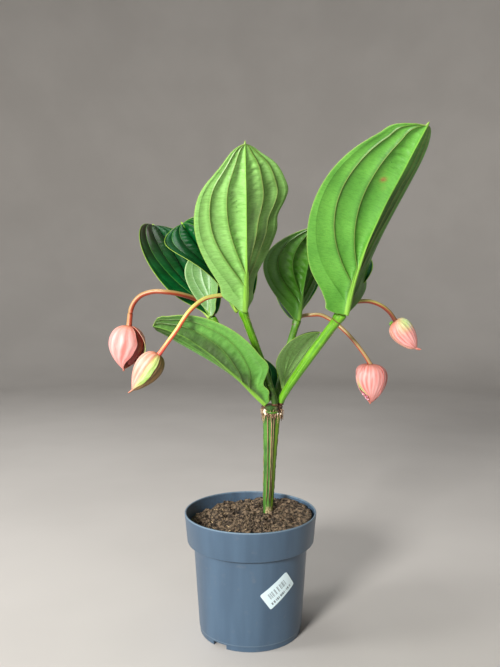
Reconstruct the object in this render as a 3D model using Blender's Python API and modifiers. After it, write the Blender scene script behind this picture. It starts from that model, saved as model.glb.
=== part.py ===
"""Medinilla (rose grape) in its nursery pot: a young plant with one ridged stem, a whorl of
four leaves where it forks, four branches that each carry a pair of broad nerved leaves and
one hanging flower bud, and the soil, pot and sticker below.

Lengths in the tables are millimetres and angles are degrees; MM turns them into metres.
The pot's axis is the Z axis and its foot stands on Z = 0.  The front of the plant is -Y.
A bearing of 0 points to the back (+Y) and a bearing of 90 points to the right (+X).
"""
import math

import bmesh
import bpy
import numpy as np
from mathutils import Matrix, Vector

MM = 0.001
GAP = 0.3            # clearance between two pieces that touch

# ---------------------------------------------------------------- driving dimensions
POT = dict(height=136, rim_radius=75, collar_height=33, collar_foot_radius=72, body_top_radius=64.8,
           body_foot_radius=58.6, foot_radius=58, foot_height=7, wall=1.8, floor=6, floor_thick=2,
           foot_width=3, boss_radius=14, sides=48)
NOTCH = dict(count=3, first_bearing=213, width=17, height=5)
DRAIN = dict(count=6, circle_radius=38, radius=6)
SOIL = dict(level=126, rise_to_right=4.5, lump=2.2, rings=7, sides=32, seed=4)
LABEL = dict(width=37, height=21, turn=36, bearing=151.5, level=66.5, thick=0.4, corner=1.5)

STEM = dict(foot=(20.6, 20, 104), head=(24.7, 10, 256), foot_radius=5.4, neck_radius=9.4,
            head_radius=13.4, head_height=7, wings=4, wing_depth=0.16, rib_depth=0.06, sides=24)

# Each branch: its foot on the stem's head, as an offset from the fork; its end node; and its
# radius at the foot and at the node.
FORK = (24.7, 10, 256.3)
BRANCHES = {
    "left": dict(foot=(-9.5, 2), end=(-44.5, 25, 354), radius=(3.4, 3.3)),
    "middle": dict(foot=(3, -8.5), end=(-8.1, -29, 362), radius=(3.6, 4.0)),
    "rear": dict(foot=(4.5, 6.5), end=(55.4, 45, 350), radius=(3.6, 4.2)),
    "right": dict(foot=(9.5, -1.5), end=(97, -30, 358), radius=(4.0, 5.2)),
}
NODE_TOP = 4         # how far a branch stands above its node's middle
KNOB = 1.25          # a node's swelling, as a multiple of its branch's radius

# Leaf habit.  bearing and rise aim the midrib where it leaves the node, sweep and arch turn
# it sideways and down over its length, and nod bends the tip down.  roll and twist lean the
# blade about its midrib (+ lifts the right half).  fold lifts both halves into a V and open
# adds to it towards the tip; cup curls each half towards its margin.  skew and spread give
# the left half more of fold and open than the right.  peak is where the blade is widest.
LEAVES = {
    "left_front": dict(node="left", out=(-1.8, -4.8, 2), bearing=184, rise=103, arch=10, nod=0, sweep=-5,
                       roll=19, twist=16, length=89, width=61, fold=-25, open=-11, cup=-16, skew=-3,
                       spread=-3, peak=0.62, blunt=0.68),
    "left_back": dict(node="left", out=(-3.5, 3.5, 2.3), bearing=-39, rise=43, arch=-3, nod=16, sweep=5,
                      roll=9, twist=-13, length=183, width=96, fold=9, open=5, cup=-4, skew=0, spread=2,
                      peak=0.56, blunt=0.52),
    "middle_front": dict(node="middle", out=(1.4, -6.9, 2.3), bearing=174, rise=61, arch=-4, nod=-6,
                         sweep=11, roll=-34, twist=5, length=180, width=107, fold=24, open=-24, cup=0,
                         skew=4, spread=-4, peak=0.61, blunt=0.64),
    "middle_back": dict(node="middle", out=(-5.2, 2.9, 2.3), bearing=-53, rise=53, arch=12, nod=-4,
                        sweep=12, roll=14, twist=36, length=140, width=107, fold=53, open=-21, cup=-2,
                        skew=4, spread=-3, peak=0.49, blunt=0.62),
    "rear_front": dict(node="rear", out=(1, -6.3, 2.3), bearing=161, rise=75, arch=32, nod=-7, sweep=0,
                       roll=-13, twist=-1, length=125, width=103, fold=20, open=6, cup=3, skew=4, spread=1,
                       peak=0.58, blunt=0.77),
    "rear_back": dict(node="rear", out=(0.6, 6.2, 2.3), bearing=11, rise=46, arch=-7, nod=-7, sweep=10,
                      roll=15, twist=15, length=162, width=77, fold=14, open=4, cup=-5, skew=-5, spread=-3,
                      peak=0.51, blunt=0.7),
    "right_front": dict(node="right", out=(4.3, -6.5, 2.3), bearing=144, rise=74, arch=40, nod=-20,
                        sweep=5, roll=-1, twist=2, length=213, width=135, fold=33, open=-3, cup=-3, skew=3,
                        spread=-1, peak=0.53, blunt=0.54),
    "right_back": dict(node="right", out=(2.2, 7, 2.3), bearing=19, rise=40, arch=-23, nod=-12, sweep=30,
                       roll=14, twist=2, length=122, width=59, fold=0, open=11, cup=-15, skew=-2, spread=0,
                       peak=0.66, blunt=0.79),
    "lower_left": dict(node="fork", out=(-7, -6, 1.9), bearing=-118, rise=42, arch=1, nod=33, sweep=19,
                       roll=-11, twist=-19, length=160, width=101, fold=26, open=-14, cup=-3, skew=-2,
                       spread=3, peak=0.53, blunt=0.63),
    "lower_right": dict(node="fork", out=(12.6, 6.2, 1.5), bearing=112, rise=95, arch=49, nod=53, sweep=3,
                        roll=19, twist=-1, length=106, width=57, fold=5, open=-14, cup=-18, skew=0,
                        spread=0, peak=0.59, blunt=0.79),
    "lower_back_left": dict(node="fork", out=(-2, 9, 2.2), bearing=-18, rise=56, arch=28, nod=15,
                            sweep=-31, roll=-2, twist=1, length=92, width=46, fold=15, open=-10, cup=-9,
                            skew=-1, spread=0, peak=0.48, blunt=0.76),
    "lower_back_right": dict(node="fork", out=(7, 11, 1.5), bearing=36, rise=52, arch=10, nod=6, sweep=-10,
                             roll=-6, twist=0, length=85, width=33, fold=25, open=1, cup=-6, skew=2,
                             spread=1, peak=0.61, blunt=0.83),
}
BLADE = dict(thick=0.9, midrib=2.6, pillow=1.1, tip=0.03, midrib_steps=60, section_steps=24)
BLADE_ROWS = (0, 0.03, 0.08, 0.16, 0.25, 0.35, 0.45, 0.55, 0.65, 0.75, 0.84, 0.91, 0.96, 1)
# Dents in a margin: leaf, side (-1 left, +1 right), place along the blade, depth and reach.
# Those at place 0 narrow a blade's foot where it passes a branch or its neighbour.
DENTS = (("middle_front", -1, 0.60, 0.12, 0.06), ("lower_left", -1, 0.17, 0.30, 0.08),
         ("lower_left", 1, 0, 0.85, 0.12), ("lower_right", 1, 0, 0.80, 0.22),
         ("lower_right", -1, 0, 0.60, 0.15), ("middle_back", -1, 0, 0.80, 0.20),
         ("lower_back_left", -1, 0, 0.80, 0.25), ("lower_back_left", 1, 0, 0.70, 0.20),
         ("lower_back_right", -1, 0, 0.70, 0.25), ("lower_back_right", 1, 0, 0.80, 0.25),
         ("left_front", 1, 0, 0.70, 0.12), ("left_back", -1, 0, 0.85, 0.12),
         ("rear_front", -1, 0, 0.80, 0.14), ("rear_back", 1, 0, 0.80, 0.14),
         ("right_front", -1, 0, 0.70, 0.08), ("right_back", 1, 0, 0.80, 0.25))

# Each flower stalk: its route on from its node's top to the bud, and its radius.
STALKS = {
    "left": dict(radius=2.8, route=((-47, 27, 365), (-53, 30, 371), (-64, 29, 378), (-78, 16, 384),
                                    (-95, 8, 387), (-111, 9, 388), (-125, 11, 382), (-133.5, 12, 370),
                                    (-137, 12, 355))),
    "middle": dict(radius=2.5, route=((-10, -30, 372), (-17, -33, 378), (-28, -39, 381), (-40, -45, 380),
                                      (-51, -51, 376), (-64, -60, 364), (-76, -60, 346), (-87, -60, 331),
                                      (-95, -59, 320))),
    "rear": dict(radius=2.3, route=((57, 47, 359), (63, 51, 364), (73, 51, 365), (84, 44, 362), (95, 35, 354),
                                    (108, 28, 342), (120, 25, 328), (130, 23, 312), (135, 22, 302))),
    "right": dict(radius=2.0, route=((98, -28, 367), (103, -24, 373), (111, -17, 377), (120, -10, 378),
                                     (133, -5, 377), (145, -3, 371), (153, -1, 364), (159, 0, 356))),
}
# Each bud hangs from the end of its stalk: its length and width, the direction of its tip and
# the turn of its bracts about its axis.
BUDS = {
    "left": dict(length=54, width=41, tip=(-0.06, 0, -1), turn=20),
    "middle": dict(length=51, width=34, tip=(-0.50, -0.05, -0.86), turn=70),
    "rear": dict(length=45, width=36, tip=(0.02, 0, -1), turn=150),
    "right": dict(length=45, width=29, tip=(0.68, -0.1, -0.72), turn=250),
}
BUD_SHAPE = dict(widest=0.40, sides=20, rings=12, ribs=10, rib_depth=0.035, lap=1.2, tip_radius=0.6)


# ---------------------------------------------------------------- scene and materials
def clear_scene():
    for obj in list(bpy.data.objects):
        bpy.data.objects.remove(obj, do_unlink=True)


def new_collection(name):
    coll = bpy.data.collections.new(name)
    bpy.context.scene.collection.children.link(coll)
    return coll


def material(name, color, roughness, metallic=0.0):
    mat = bpy.data.materials.new(name)
    mat.use_nodes = True
    shader = mat.node_tree.nodes["Principled BSDF"]
    shader.inputs["Base Color"].default_value = (*color, 1)
    shader.inputs["Roughness"].default_value = roughness
    shader.inputs["Metallic"].default_value = metallic
    return mat


def place(name, data, mat, coll):
    """Link an object to its collection and give it its material."""
    obj = bpy.data.objects.new(name, data)
    data.materials.clear()
    data.materials.append(mat)
    coll.objects.link(obj)
    return obj


def as_mesh(obj):
    """Turn a curve object into a welded mesh object of the same name."""
    depsgraph = bpy.context.evaluated_depsgraph_get()
    mesh = bpy.data.meshes.new_from_object(obj.evaluated_get(depsgraph))
    bm = bmesh.new()
    bm.from_mesh(mesh)
    bmesh.ops.remove_doubles(bm, verts=bm.verts, dist=0.01 * MM)
    bm.to_mesh(mesh)
    bm.free()
    name, matrix, mat = obj.name, obj.matrix_world.copy(), obj.data.materials[0]
    bpy.data.objects.remove(obj, do_unlink=True)
    result = place(name, mesh, mat, PARTS)
    result.matrix_world = matrix
    return result


def cutter(name, mesh):
    """An object that only cuts others: hidden in renders and drawn as wire."""
    obj = bpy.data.objects.new(name, mesh)
    CUTTERS.objects.link(obj)
    obj.hide_render = True
    obj.display_type = "WIRE"
    return obj


def subtract(obj, tool):
    mod = obj.modifiers.new("cut " + tool.name, "BOOLEAN")
    mod.operation = "DIFFERENCE"
    mod.solver = "EXACT"
    mod.object = tool


def smooth(obj, angle=35):
    obj.data.shade_smooth()
    obj.data.set_sharp_from_angle(angle=math.radians(angle))


# ---------------------------------------------------------------- turned shapes and tubes
def turned(name, profile, sides, mat):
    """Turn a closed profile of (radius, height) points about the Z axis, with its faces out."""
    mesh = bpy.data.meshes.new(name)
    verts = [(r * MM, 0, z * MM) for r, z in profile]
    edges = [(i, i + 1) for i in range(len(verts) - 1)] + [(len(verts) - 1, 0)]
    mesh.from_pydata(verts, edges, [])
    obj = place(name, mesh, mat, PARTS)
    mod = obj.modifiers.new("turn", "SCREW")
    mod.steps = mod.render_steps = sides
    mod.use_merge_vertices = True
    mod.merge_threshold = 0.01 * MM
    mod.use_smooth_shade = True
    return obj


def rounded_route(points, count):
    """Points along a smooth curve through a route's own points (centripetal Catmull-Rom)."""
    pts = [Vector(p) for p in points]
    pts = [2 * pts[0] - pts[1]] + pts + [2 * pts[-1] - pts[-2]]
    spans = len(pts) - 3
    out = []
    for k in range(count):
        s = k * spans / (count - 1)
        i = min(int(s), spans - 1)
        f = s - i
        p0, p1, p2, p3 = pts[i:i + 4]
        out.append(0.5 * (2 * p1 + (p2 - p0) * f + (2 * p0 - 5 * p1 + 4 * p2 - p3) * f * f
                          + (3 * p1 - p0 - 3 * p2 + p3) * f ** 3))
    return out


def tube(name, points, radii, mat, resolution):
    """A round bar along a line of points, with a radius at each point."""
    curve = bpy.data.curves.new(name, "CURVE")
    curve.dimensions = "3D"
    curve.bevel_depth = MM
    curve.bevel_resolution = resolution
    curve.use_fill_caps = True
    spline = curve.splines.new("POLY")
    spline.points.add(len(points) - 1)
    for point, position, radius in zip(spline.points, points, radii):
        point.co = (*(Vector(position) * MM), 1)
        point.radius = radius
    return as_mesh(place(name, curve, mat, PARTS))


def loft(name, rings, mat):
    """Skin rings of equal counts, each running clockwise as seen from the last ring's end.

    Each ring closes on itself, and both end rings are capped."""
    count = len(rings[0])
    verts = [point * MM for ring in rings for point in ring]
    faces = []
    for r in range(len(rings) - 1):
        for c in range(count):
            a = r * count + c
            b = r * count + (c + 1) % count
            faces.append((a, a + count, b + count, b))
    first, last = len(verts), len(verts) + 1
    verts += [sum(rings[0], Vector()) / count * MM, sum(rings[-1], Vector()) / count * MM]
    top = (len(rings) - 1) * count
    for c in range(count):
        faces.append((first, c, (c + 1) % count))
        faces.append((last, top + (c + 1) % count, top + c))
    mesh = bpy.data.meshes.new(name)
    mesh.from_pydata(verts, [], faces)
    return place(name, mesh, mat, PARTS)


# ---------------------------------------------------------------- pot, sticker and soil
def body_radius(z):
    """Outer radius of the pot's tapered body below its collar."""
    top = POT["height"] - POT["collar_height"]
    share = (z - POT["foot_height"]) / (top - POT["foot_height"])
    return POT["body_foot_radius"] + share * (POT["body_top_radius"] - POT["body_foot_radius"])


def pot_profile():
    """The pot's section: outside from rim to foot, under the floor, then up the inside."""
    p = POT
    collar = p["height"] - p["collar_height"]
    wall = p["wall"]
    return [
        (p["rim_radius"] - wall, p["height"]),
        (p["rim_radius"] - 0.4, p["height"]),
        (p["rim_radius"], p["height"] - 0.6),
        (p["rim_radius"] - 0.3, p["height"] - 4),
        (p["collar_foot_radius"], collar + 1.2),
        (p["collar_foot_radius"] - 1.2, collar),
        (body_radius(collar) + 0.4, collar),
        (body_radius(collar - 1), collar - 1),
        (p["body_foot_radius"], p["foot_height"]),
        (p["foot_radius"], p["foot_height"] - 0.8),
        (p["foot_radius"] - 0.4, 0.5),
        (p["foot_radius"] - 0.9, 0),
        (p["foot_radius"] - p["foot_width"], 0),
        (p["foot_radius"] - p["foot_width"] - 0.6, p["floor"]),
        (p["boss_radius"] + 3, p["floor"]),
        (p["boss_radius"], 0),
        (0, 0),
        (0, p["floor_thick"]),
        (p["boss_radius"] - 0.5, p["floor_thick"]),
        (p["boss_radius"] + 2.2, p["floor"] + p["floor_thick"]),
        (body_radius(10) - wall - 2, p["floor"] + p["floor_thick"]),
        (body_radius(12) - wall, p["floor"] + p["floor_thick"] + 2),
        (body_radius(collar - 2) - wall, collar - 2),
        (p["collar_foot_radius"] - wall - 1.4, collar + 2),
    ]


def build_pot():
    pot = turned("pot", pot_profile(), POT["sides"], POT_PLASTIC)
    for i in range(NOTCH["count"]):
        bearing = NOTCH["first_bearing"] + i * 360 / NOTCH["count"]
        bpy.ops.mesh.primitive_cube_add(size=1)
        block = bpy.context.object
        mesh = block.data
        bpy.data.objects.remove(block, do_unlink=True)
        size = Vector((NOTCH["width"], 4 * POT["foot_width"], 2 * NOTCH["height"])) * MM
        mesh.transform(Matrix.Diagonal((*size, 1)))
        radius = (POT["foot_radius"] - POT["foot_width"] / 2) * MM
        mesh.transform(Matrix.Translation((0, radius, 0)))
        mesh.transform(Matrix.Rotation(-math.radians(bearing), 4, "Z"))
        subtract(pot, cutter(f"notch_{i + 1}", mesh))
    for i in range(DRAIN["count"]):
        turn = math.radians(i * 360 / DRAIN["count"])
        mesh = bpy.data.meshes.new("drain")
        bm = bmesh.new()
        depth = 3 * POT["floor_thick"]
        place_at = Vector((DRAIN["circle_radius"] * math.sin(turn), DRAIN["circle_radius"] * math.cos(turn),
                           POT["floor"] + POT["floor_thick"] / 2)) * MM
        bmesh.ops.create_cone(bm, cap_ends=True, segments=12, radius1=DRAIN["radius"] * MM,
                              radius2=DRAIN["radius"] * MM, depth=depth * MM,
                              matrix=Matrix.Translation(place_at))
        bm.to_mesh(mesh)
        bm.free()
        subtract(pot, cutter(f"drain_{i + 1}", mesh))
    return pot


def on_body(arc, z, proud):
    """A point on the pot's body, arc millimetres to the right of the sticker's middle."""
    radius = body_radius(z) + proud
    turn = math.radians(LABEL["bearing"]) - arc / body_radius(z)
    return Vector((radius * math.sin(turn), radius * math.cos(turn), z)) * MM


def build_label():
    """The sticker: a rounded rectangle wrapped round the tapered body."""
    half_w, half_h, corner = LABEL["width"] / 2, LABEL["height"] / 2, LABEL["corner"]
    turn = math.radians(LABEL["turn"])
    across = np.concatenate(([-half_w, -half_w + corner], np.linspace(-half_w, half_w, 9)[1:-1],
                             [half_w - corner, half_w]))
    down = (-half_h, -half_h + corner, 0, half_h - corner, half_h)
    verts = []
    for v in down:
        for u in across:
            pull = corner * 0.29 if abs(u) == half_w and abs(v) == half_h else 0
            u_in = u - math.copysign(pull, u)
            v_in = v - math.copysign(pull, v)
            arc = u_in * math.cos(turn) - v_in * math.sin(turn)
            rise = u_in * math.sin(turn) + v_in * math.cos(turn)
            verts.append(on_body(arc, LABEL["level"] + rise, GAP))
    columns = len(across)
    faces = []
    for r in range(len(down) - 1):
        for c in range(columns - 1):
            a = r * columns + c
            faces += [(a, a + 1, a + columns + 1), (a, a + columns + 1, a + columns)]
    mesh = bpy.data.meshes.new("label")
    mesh.from_pydata(verts, [], faces)
    label = place("label", mesh, PAPER, PARTS)
    mod = label.modifiers.new("thickness", "SOLIDIFY")
    mod.thickness = LABEL["thick"] * MM
    mod.offset = 1
    return label


def build_soil():
    """Lumpy soil that fills the pot, with a plain hole for the foot of the stem."""
    rng = np.random.default_rng(SOIL["seed"])
    wall = POT["wall"] + 2 * GAP
    low = POT["floor"] + POT["floor_thick"] + GAP
    side = [(low, body_radius(10) - wall - 3), (low + 4, body_radius(12) - wall),
            (100, body_radius(100) - wall), (SOIL["level"] - 8, POT["collar_foot_radius"] - wall - 1)]
    sides = SOIL["sides"]
    turns = np.linspace(0, 2 * math.pi, sides + 1)[:-1]
    rings = [[Vector((r * math.sin(a), r * math.cos(a), z)) for a in turns] for z, r in side]
    edge = POT["collar_foot_radius"] - wall
    for k in range(SOIL["rings"]):
        radius = edge * (1 - (k / SOIL["rings"]) ** 0.8)
        ring = []
        for a in turns:
            x, y = radius * math.sin(a), radius * math.cos(a)
            lump = SOIL["lump"] * rng.uniform(-0.6, 0.6) - (1.5 if k == 0 else 0)
            ring.append(Vector((x, y, SOIL["level"] + SOIL["rise_to_right"] * x / edge + lump)))
        rings.append(ring)
    soil = loft("soil", rings, SOIL_MATERIAL)
    hole = STEM["foot_radius"] + 2 * GAP
    bpy.ops.mesh.primitive_cylinder_add(vertices=16, radius=hole * MM, depth=80 * MM)
    drill = bpy.context.object
    mesh = drill.data
    bpy.data.objects.remove(drill, do_unlink=True)
    foot = Vector(STEM["foot"]) + Vector((0, 0, 40 - GAP))
    mesh.transform(Matrix.Translation(foot * MM))
    subtract(soil, cutter("stem_hole", mesh))
    return soil


# ---------------------------------------------------------------- stem and branches
def build_stem():
    """The main stem: a round woody foot, then four blunt wings that widen to a flat head."""
    foot, head = Vector(STEM["foot"]), Vector(STEM["head"])
    straight = foot + Vector((0, 0, SOIL["level"] + 6 - foot.z))
    neck = head - Vector((0, 0, STEM["head_height"]))
    route = [foot, straight] + [straight.lerp(neck, k / 7) for k in range(1, 8)]
    route += [head - Vector((0, 0, 3)), head - Vector((0, 0, 0.8)), head]
    sides = STEM["sides"]
    rings = []
    for i, point in enumerate(route):
        share = max(0, min(1, (point.z - straight.z) / (neck.z - straight.z)))
        radius = STEM["foot_radius"] + share * (STEM["neck_radius"] - STEM["foot_radius"])
        if i >= len(route) - 3:
            radius = STEM["head_radius"] - (1.0 if i == len(route) - 1 else 0)
        wings = STEM["wing_depth"] * math.sin(math.pi * share) ** 0.5 if 0 < share < 1 else 0
        ring = []
        for k in range(sides):
            turn = 2 * math.pi * k / sides
            wave = wings * math.cos(STEM["wings"] * turn + 0.6)
            wave += STEM["rib_depth"] * share * math.cos(3 * turn)
            reach = radius * (1 + wave)
            ring.append(point + Vector((reach * math.sin(turn), reach * math.cos(turn), 0)))
        rings.append(ring)
    return loft("main_stem", rings, STEM_GREEN)


def branch_route(spec, count=10):
    """Up off the stem's head, out along a gently bowed line, and up again through the end node."""
    foot = Vector(FORK) + Vector((*spec["foot"], 0))
    end = Vector(spec["end"])
    low, high = foot + Vector((0, 0, 2)), end + Vector((0, 0, NODE_TOP - 2.5))
    pull_low = low + Vector((0, 0, 9))
    pull_high = high.lerp(low, 0.30) + Vector((0, 0, 2))
    route = [foot]
    for k in range(count):
        f = k / (count - 1)
        g = 1 - f
        route.append(low * g ** 3 + pull_low * (3 * g * g * f) + pull_high * (3 * g * f * f) + high * f ** 3)
    return route + [end + Vector((0, 0, NODE_TOP - 0.8)), end + Vector((0, 0, NODE_TOP))]


def build_branch(name, spec):
    points = branch_route(spec)
    start, end = spec["radius"]
    length = (points[-1] - points[0]).length
    radii = []
    for point in points:
        share = min(1, (point - points[0]).length / length * 2)
        near_node = math.exp(-((point - Vector(spec["end"])).length / 6) ** 2)
        radii.append((start + share * (end - start)) * (1 + (KNOB - 1) * near_node))
    radii[-1] *= 0.8
    branch = tube(f"branch_{name}", points, radii, BRANCH_GREEN, 3)
    smooth(branch)
    return branch


# ---------------------------------------------------------------- leaves
def half_width(t, leaf):
    """Half width of a blade as a share of its greatest: rounded foot, oval body, short tip."""
    warp = math.log(0.5) / math.log(leaf["peak"])
    along = min(1, t / (1 - BLADE["tip"]))
    body = max(0, math.sin(math.pi * along ** warp)) ** leaf["blunt"]
    foot_lobe = 0.06 * math.exp(-t / 0.08) * (1 - math.exp(-t / 0.012))
    point = 0.02 * min(1, (1 - t) / BLADE["tip"])
    return max(body + foot_lobe + 0.04 * (1 - t), point)


def nerve_shares(t):
    """Shares of a half's width: midrib, inner nerve, outer nerve and margin, with the swell between."""
    inner = max(0.10, 0.44 * (1 - math.exp(-max(t - 0.24, 0) / 0.20)))
    outer = max(inner + 0.14, 0.76 * (1 - math.exp(-max(t - 0.16, 0) / 0.17)))
    return 0, inner / 2, inner, (inner + outer) / 2, outer, (1 + outer) / 2, 1


def margin_dents(leaf_name, side, t):
    """The share of its width that a half keeps at t."""
    keep = 1
    for name, dented, place_at, depth, reach in DENTS:
        if name == leaf_name and dented == side:
            keep *= 1 - depth * math.exp(-((t - place_at) / reach) ** 2)
    return keep


def midrib_frames(leaf, base, rows):
    """At each row: the midrib's point, the blade's sideways direction and its upper normal."""
    steps = BLADE["midrib_steps"]
    frames = []
    point = Vector(base)
    before = None
    for i in range(steps + 1):
        t = i / steps
        turn = math.radians(leaf["bearing"] + leaf["sweep"] * t)
        rise = math.radians(leaf["rise"] - leaf["arch"] * t - leaf["nod"] * t ** 4)
        ahead = Vector((math.sin(turn) * math.cos(rise), math.cos(turn) * math.cos(rise), math.sin(rise)))
        if before is not None:
            point = point + (ahead + before) * (leaf["length"] / steps / 2)
        before = ahead
        level = Vector((math.cos(turn), -math.sin(turn), 0))
        above = level.cross(ahead)
        lean = math.radians(leaf["roll"] + leaf["twist"] * t)
        side = level * math.cos(lean) + above * math.sin(lean)
        normal = above * math.cos(lean) - level * math.sin(lean)
        frames.append((t, point, side, normal))
    out = []
    for t in rows:
        i = min(int(t * steps), steps - 1)
        f = t * steps - i
        a, b = frames[i], frames[i + 1]
        out.append((t, a[1].lerp(b[1], f), a[2].lerp(b[2], f).normalized(), a[3].lerp(b[3], f).normalized()))
    return out


def half_section(leaf, name, side, t, shares):
    """Points across one half at t, as (out, up) from the midrib: bent up by fold and cup."""
    width = half_width(t, leaf) * leaf["width"] / 2 * margin_dents(name, side, t)
    lean = -side
    clasp = 1 - 0.7 * math.exp(-t / 0.08)
    at_rib = (leaf["fold"] + lean * leaf["skew"]) * clasp + (leaf["open"] + lean * leaf["spread"]) * t
    steps = BLADE["section_steps"]
    path = [(0, 0)]
    for k in range(steps):
        angle = math.radians(at_rib + leaf["cup"] * (k + 0.5) / steps)
        out, up = path[-1]
        path.append((out + math.cos(angle) * width / steps, up + math.sin(angle) * width / steps))
    puff = BLADE["pillow"] * min(1, width / 25)
    points = []
    for index, share in enumerate(shares):
        i = min(int(share * steps), steps - 1)
        f = share * steps - i
        out = path[i][0] * (1 - f) + path[i + 1][0] * f
        up = path[i][1] * (1 - f) + path[i + 1][1] * f
        points.append((out, up + (puff if index % 2 else 0)))
    return points


def build_leaf(name, leaf):
    """A blade folded along its midrib, with sunken side nerves; the last row is the tip's point."""
    node = Vector(FORK) if leaf["node"] == "fork" else Vector(BRANCHES[leaf["node"]]["end"])
    base = node + Vector(leaf["out"])
    verts, weights, faces = [], [], []
    columns = 2 * len(nerve_shares(1)) - 1
    for t, middle, side, normal in midrib_frames(leaf, base, BLADE_ROWS):
        shares = nerve_shares(t)
        left = half_section(leaf, name, -1, t, shares)
        right = half_section(leaf, name, 1, t, shares)
        rib = BLADE["midrib"] - (BLADE["midrib"] - BLADE["thick"]) * min(1, t * 1.1)
        row = [(-out, up, s) for (out, up), s in zip(reversed(left), reversed(shares))]
        row += [(out, up, s) for (out, up), s in zip(right[1:], shares[1:])]
        if t == 1:
            row = [(0, 0, 0)]
        for out, up, share in row:
            verts.append((middle + side * out + normal * up) * MM)
            extra = (rib - BLADE["thick"]) * max(0, 1 - 5 * share)
            weights.append((BLADE["thick"] + extra) / BLADE["midrib"])
    rows = len(BLADE_ROWS)
    for r in range(rows - 2):
        for c in range(columns - 1):
            a = r * columns + c
            if c < columns // 2:
                faces += [(a, a + 1, a + columns), (a + 1, a + columns + 1, a + columns)]
            else:
                faces += [(a, a + 1, a + columns + 1), (a, a + columns + 1, a + columns)]
    tip = (rows - 1) * columns
    for c in range(columns - 1):
        a = (rows - 2) * columns + c
        faces.append((a, a + 1, tip))
    mesh = bpy.data.meshes.new(f"leaf_{name}")
    mesh.from_pydata(verts, [], faces)
    obj = place(f"leaf_{name}", mesh, LEAF_GREEN, PARTS)
    group = obj.vertex_groups.new(name="thickness")
    for index, weight in enumerate(weights):
        group.add([index], min(1, weight), "REPLACE")
    mod = obj.modifiers.new("thickness", "SOLIDIFY")
    mod.thickness = BLADE["midrib"] * MM
    mod.vertex_group = group.name
    mod.thickness_vertex_group = 0
    mod.offset = -1
    smooth(obj, 50)
    return obj


# ---------------------------------------------------------------- flower stalks and buds
def stalk_route(name, spec):
    """Up off the node's top, then along the stalk's own route."""
    start = Vector(BRANCHES[name]["end"]) + Vector((0, 0, NODE_TOP + GAP))
    return [start] + rounded_route([start + Vector((0, 0, 2)), *spec["route"]], 15)


def build_stalk(name, spec):
    points = stalk_route(name, spec)
    radii = [spec["radius"]] * len(points)
    stalk = tube(f"stalk_{name}", points, radii, STALK_RED, 2)
    smooth(stalk)
    return stalk


def build_bud(name, spec):
    """A hanging drop of overlapping bracts: two broad outer ones lap over the two below them."""
    shape = BUD_SHAPE
    route = STALKS[name]["route"]
    axis = Vector(spec["tip"]).normalized()
    arrive = (Vector(route[-1]) - Vector(route[-2])).normalized()
    top = Vector(route[-1]) + arrive * GAP + axis * (0.5 * STALKS[name]["radius"])
    across = axis.cross(Vector((0, 1, 0))).normalized()
    front = across.cross(axis)
    warp = math.log(0.5) / math.log(shape["widest"])
    rings = []
    for i in range(shape["rings"] + 1):
        t = i / shape["rings"]
        body = max(0, math.sin(math.pi * t ** warp)) ** 0.72
        radius = max(shape["tip_radius"], spec["width"] / 2 * body)
        if i == 0:
            radius = STALKS[name]["radius"] * 1.3
        ring = []
        for k in range(shape["sides"]):
            turn = 2 * math.pi * k / shape["sides"]
            around = turn - math.radians(spec["turn"])
            lap_edge = math.cos(2 * around) > 0.1 + 0.8 * (t - 0.75) * (t > 0.75)
            lap = shape["lap"] * lap_edge * body
            ribs = 1 + shape["rib_depth"] * math.cos(shape["ribs"] * around) * body
            reach = (radius - shape["lap"]) * ribs + lap if i else radius
            reach = max(shape["tip_radius"], reach)
            point = top + axis * (t * spec["length"])
            ring.append(point + across * (reach * math.cos(turn)) + front * (reach * math.sin(turn)))
        rings.append(ring)
    bud = loft(f"bud_{name}", rings, BUD_PINK)
    smooth(bud, 60)
    return bud


# ---------------------------------------------------------------- assembly
clear_scene()
PARTS = new_collection("medinilla")
CUTTERS = new_collection("cutters")
POT_PLASTIC = material("pot plastic", (0.10, 0.14, 0.22), 0.42)
PAPER = material("sticker paper", (0.82, 0.88, 0.90), 0.45)
SOIL_MATERIAL = material("soil", (0.10, 0.065, 0.04), 0.95)
STEM_GREEN = material("stem bark", (0.20, 0.22, 0.08), 0.6)
BRANCH_GREEN = material("branch green", (0.25, 0.45, 0.08), 0.5)
LEAF_GREEN = material("leaf", (0.09, 0.30, 0.06), 0.35)
STALK_RED = material("stalk red", (0.50, 0.16, 0.07), 0.45)
BUD_PINK = material("bud bracts", (0.90, 0.60, 0.58), 0.5)

build_pot()
build_label()
smooth(build_soil(), 25)
smooth(build_stem(), 60)
for branch_name, branch_spec in BRANCHES.items():
    build_branch(branch_name, branch_spec)
for leaf_name, leaf_spec in LEAVES.items():
    build_leaf(leaf_name, leaf_spec)
for stalk_name, stalk_spec in STALKS.items():
    build_stalk(stalk_name, stalk_spec)
    build_bud(stalk_name, BUDS[stalk_name])
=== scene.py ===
"""The looks of the potted medinilla: fine leaves, bracts, stems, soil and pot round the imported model.

Lengths in the tables are millimetres and angles are degrees; MM turns them into metres.
A bearing of 0 points to the back (+Y) and a bearing of 90 points to the right (+X).
Materials' colours are screen values, 0 to 255.
"""
import math
from types import SimpleNamespace

import bmesh
import bpy
import numpy as np
from mathutils import Matrix, Vector, noise


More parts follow.
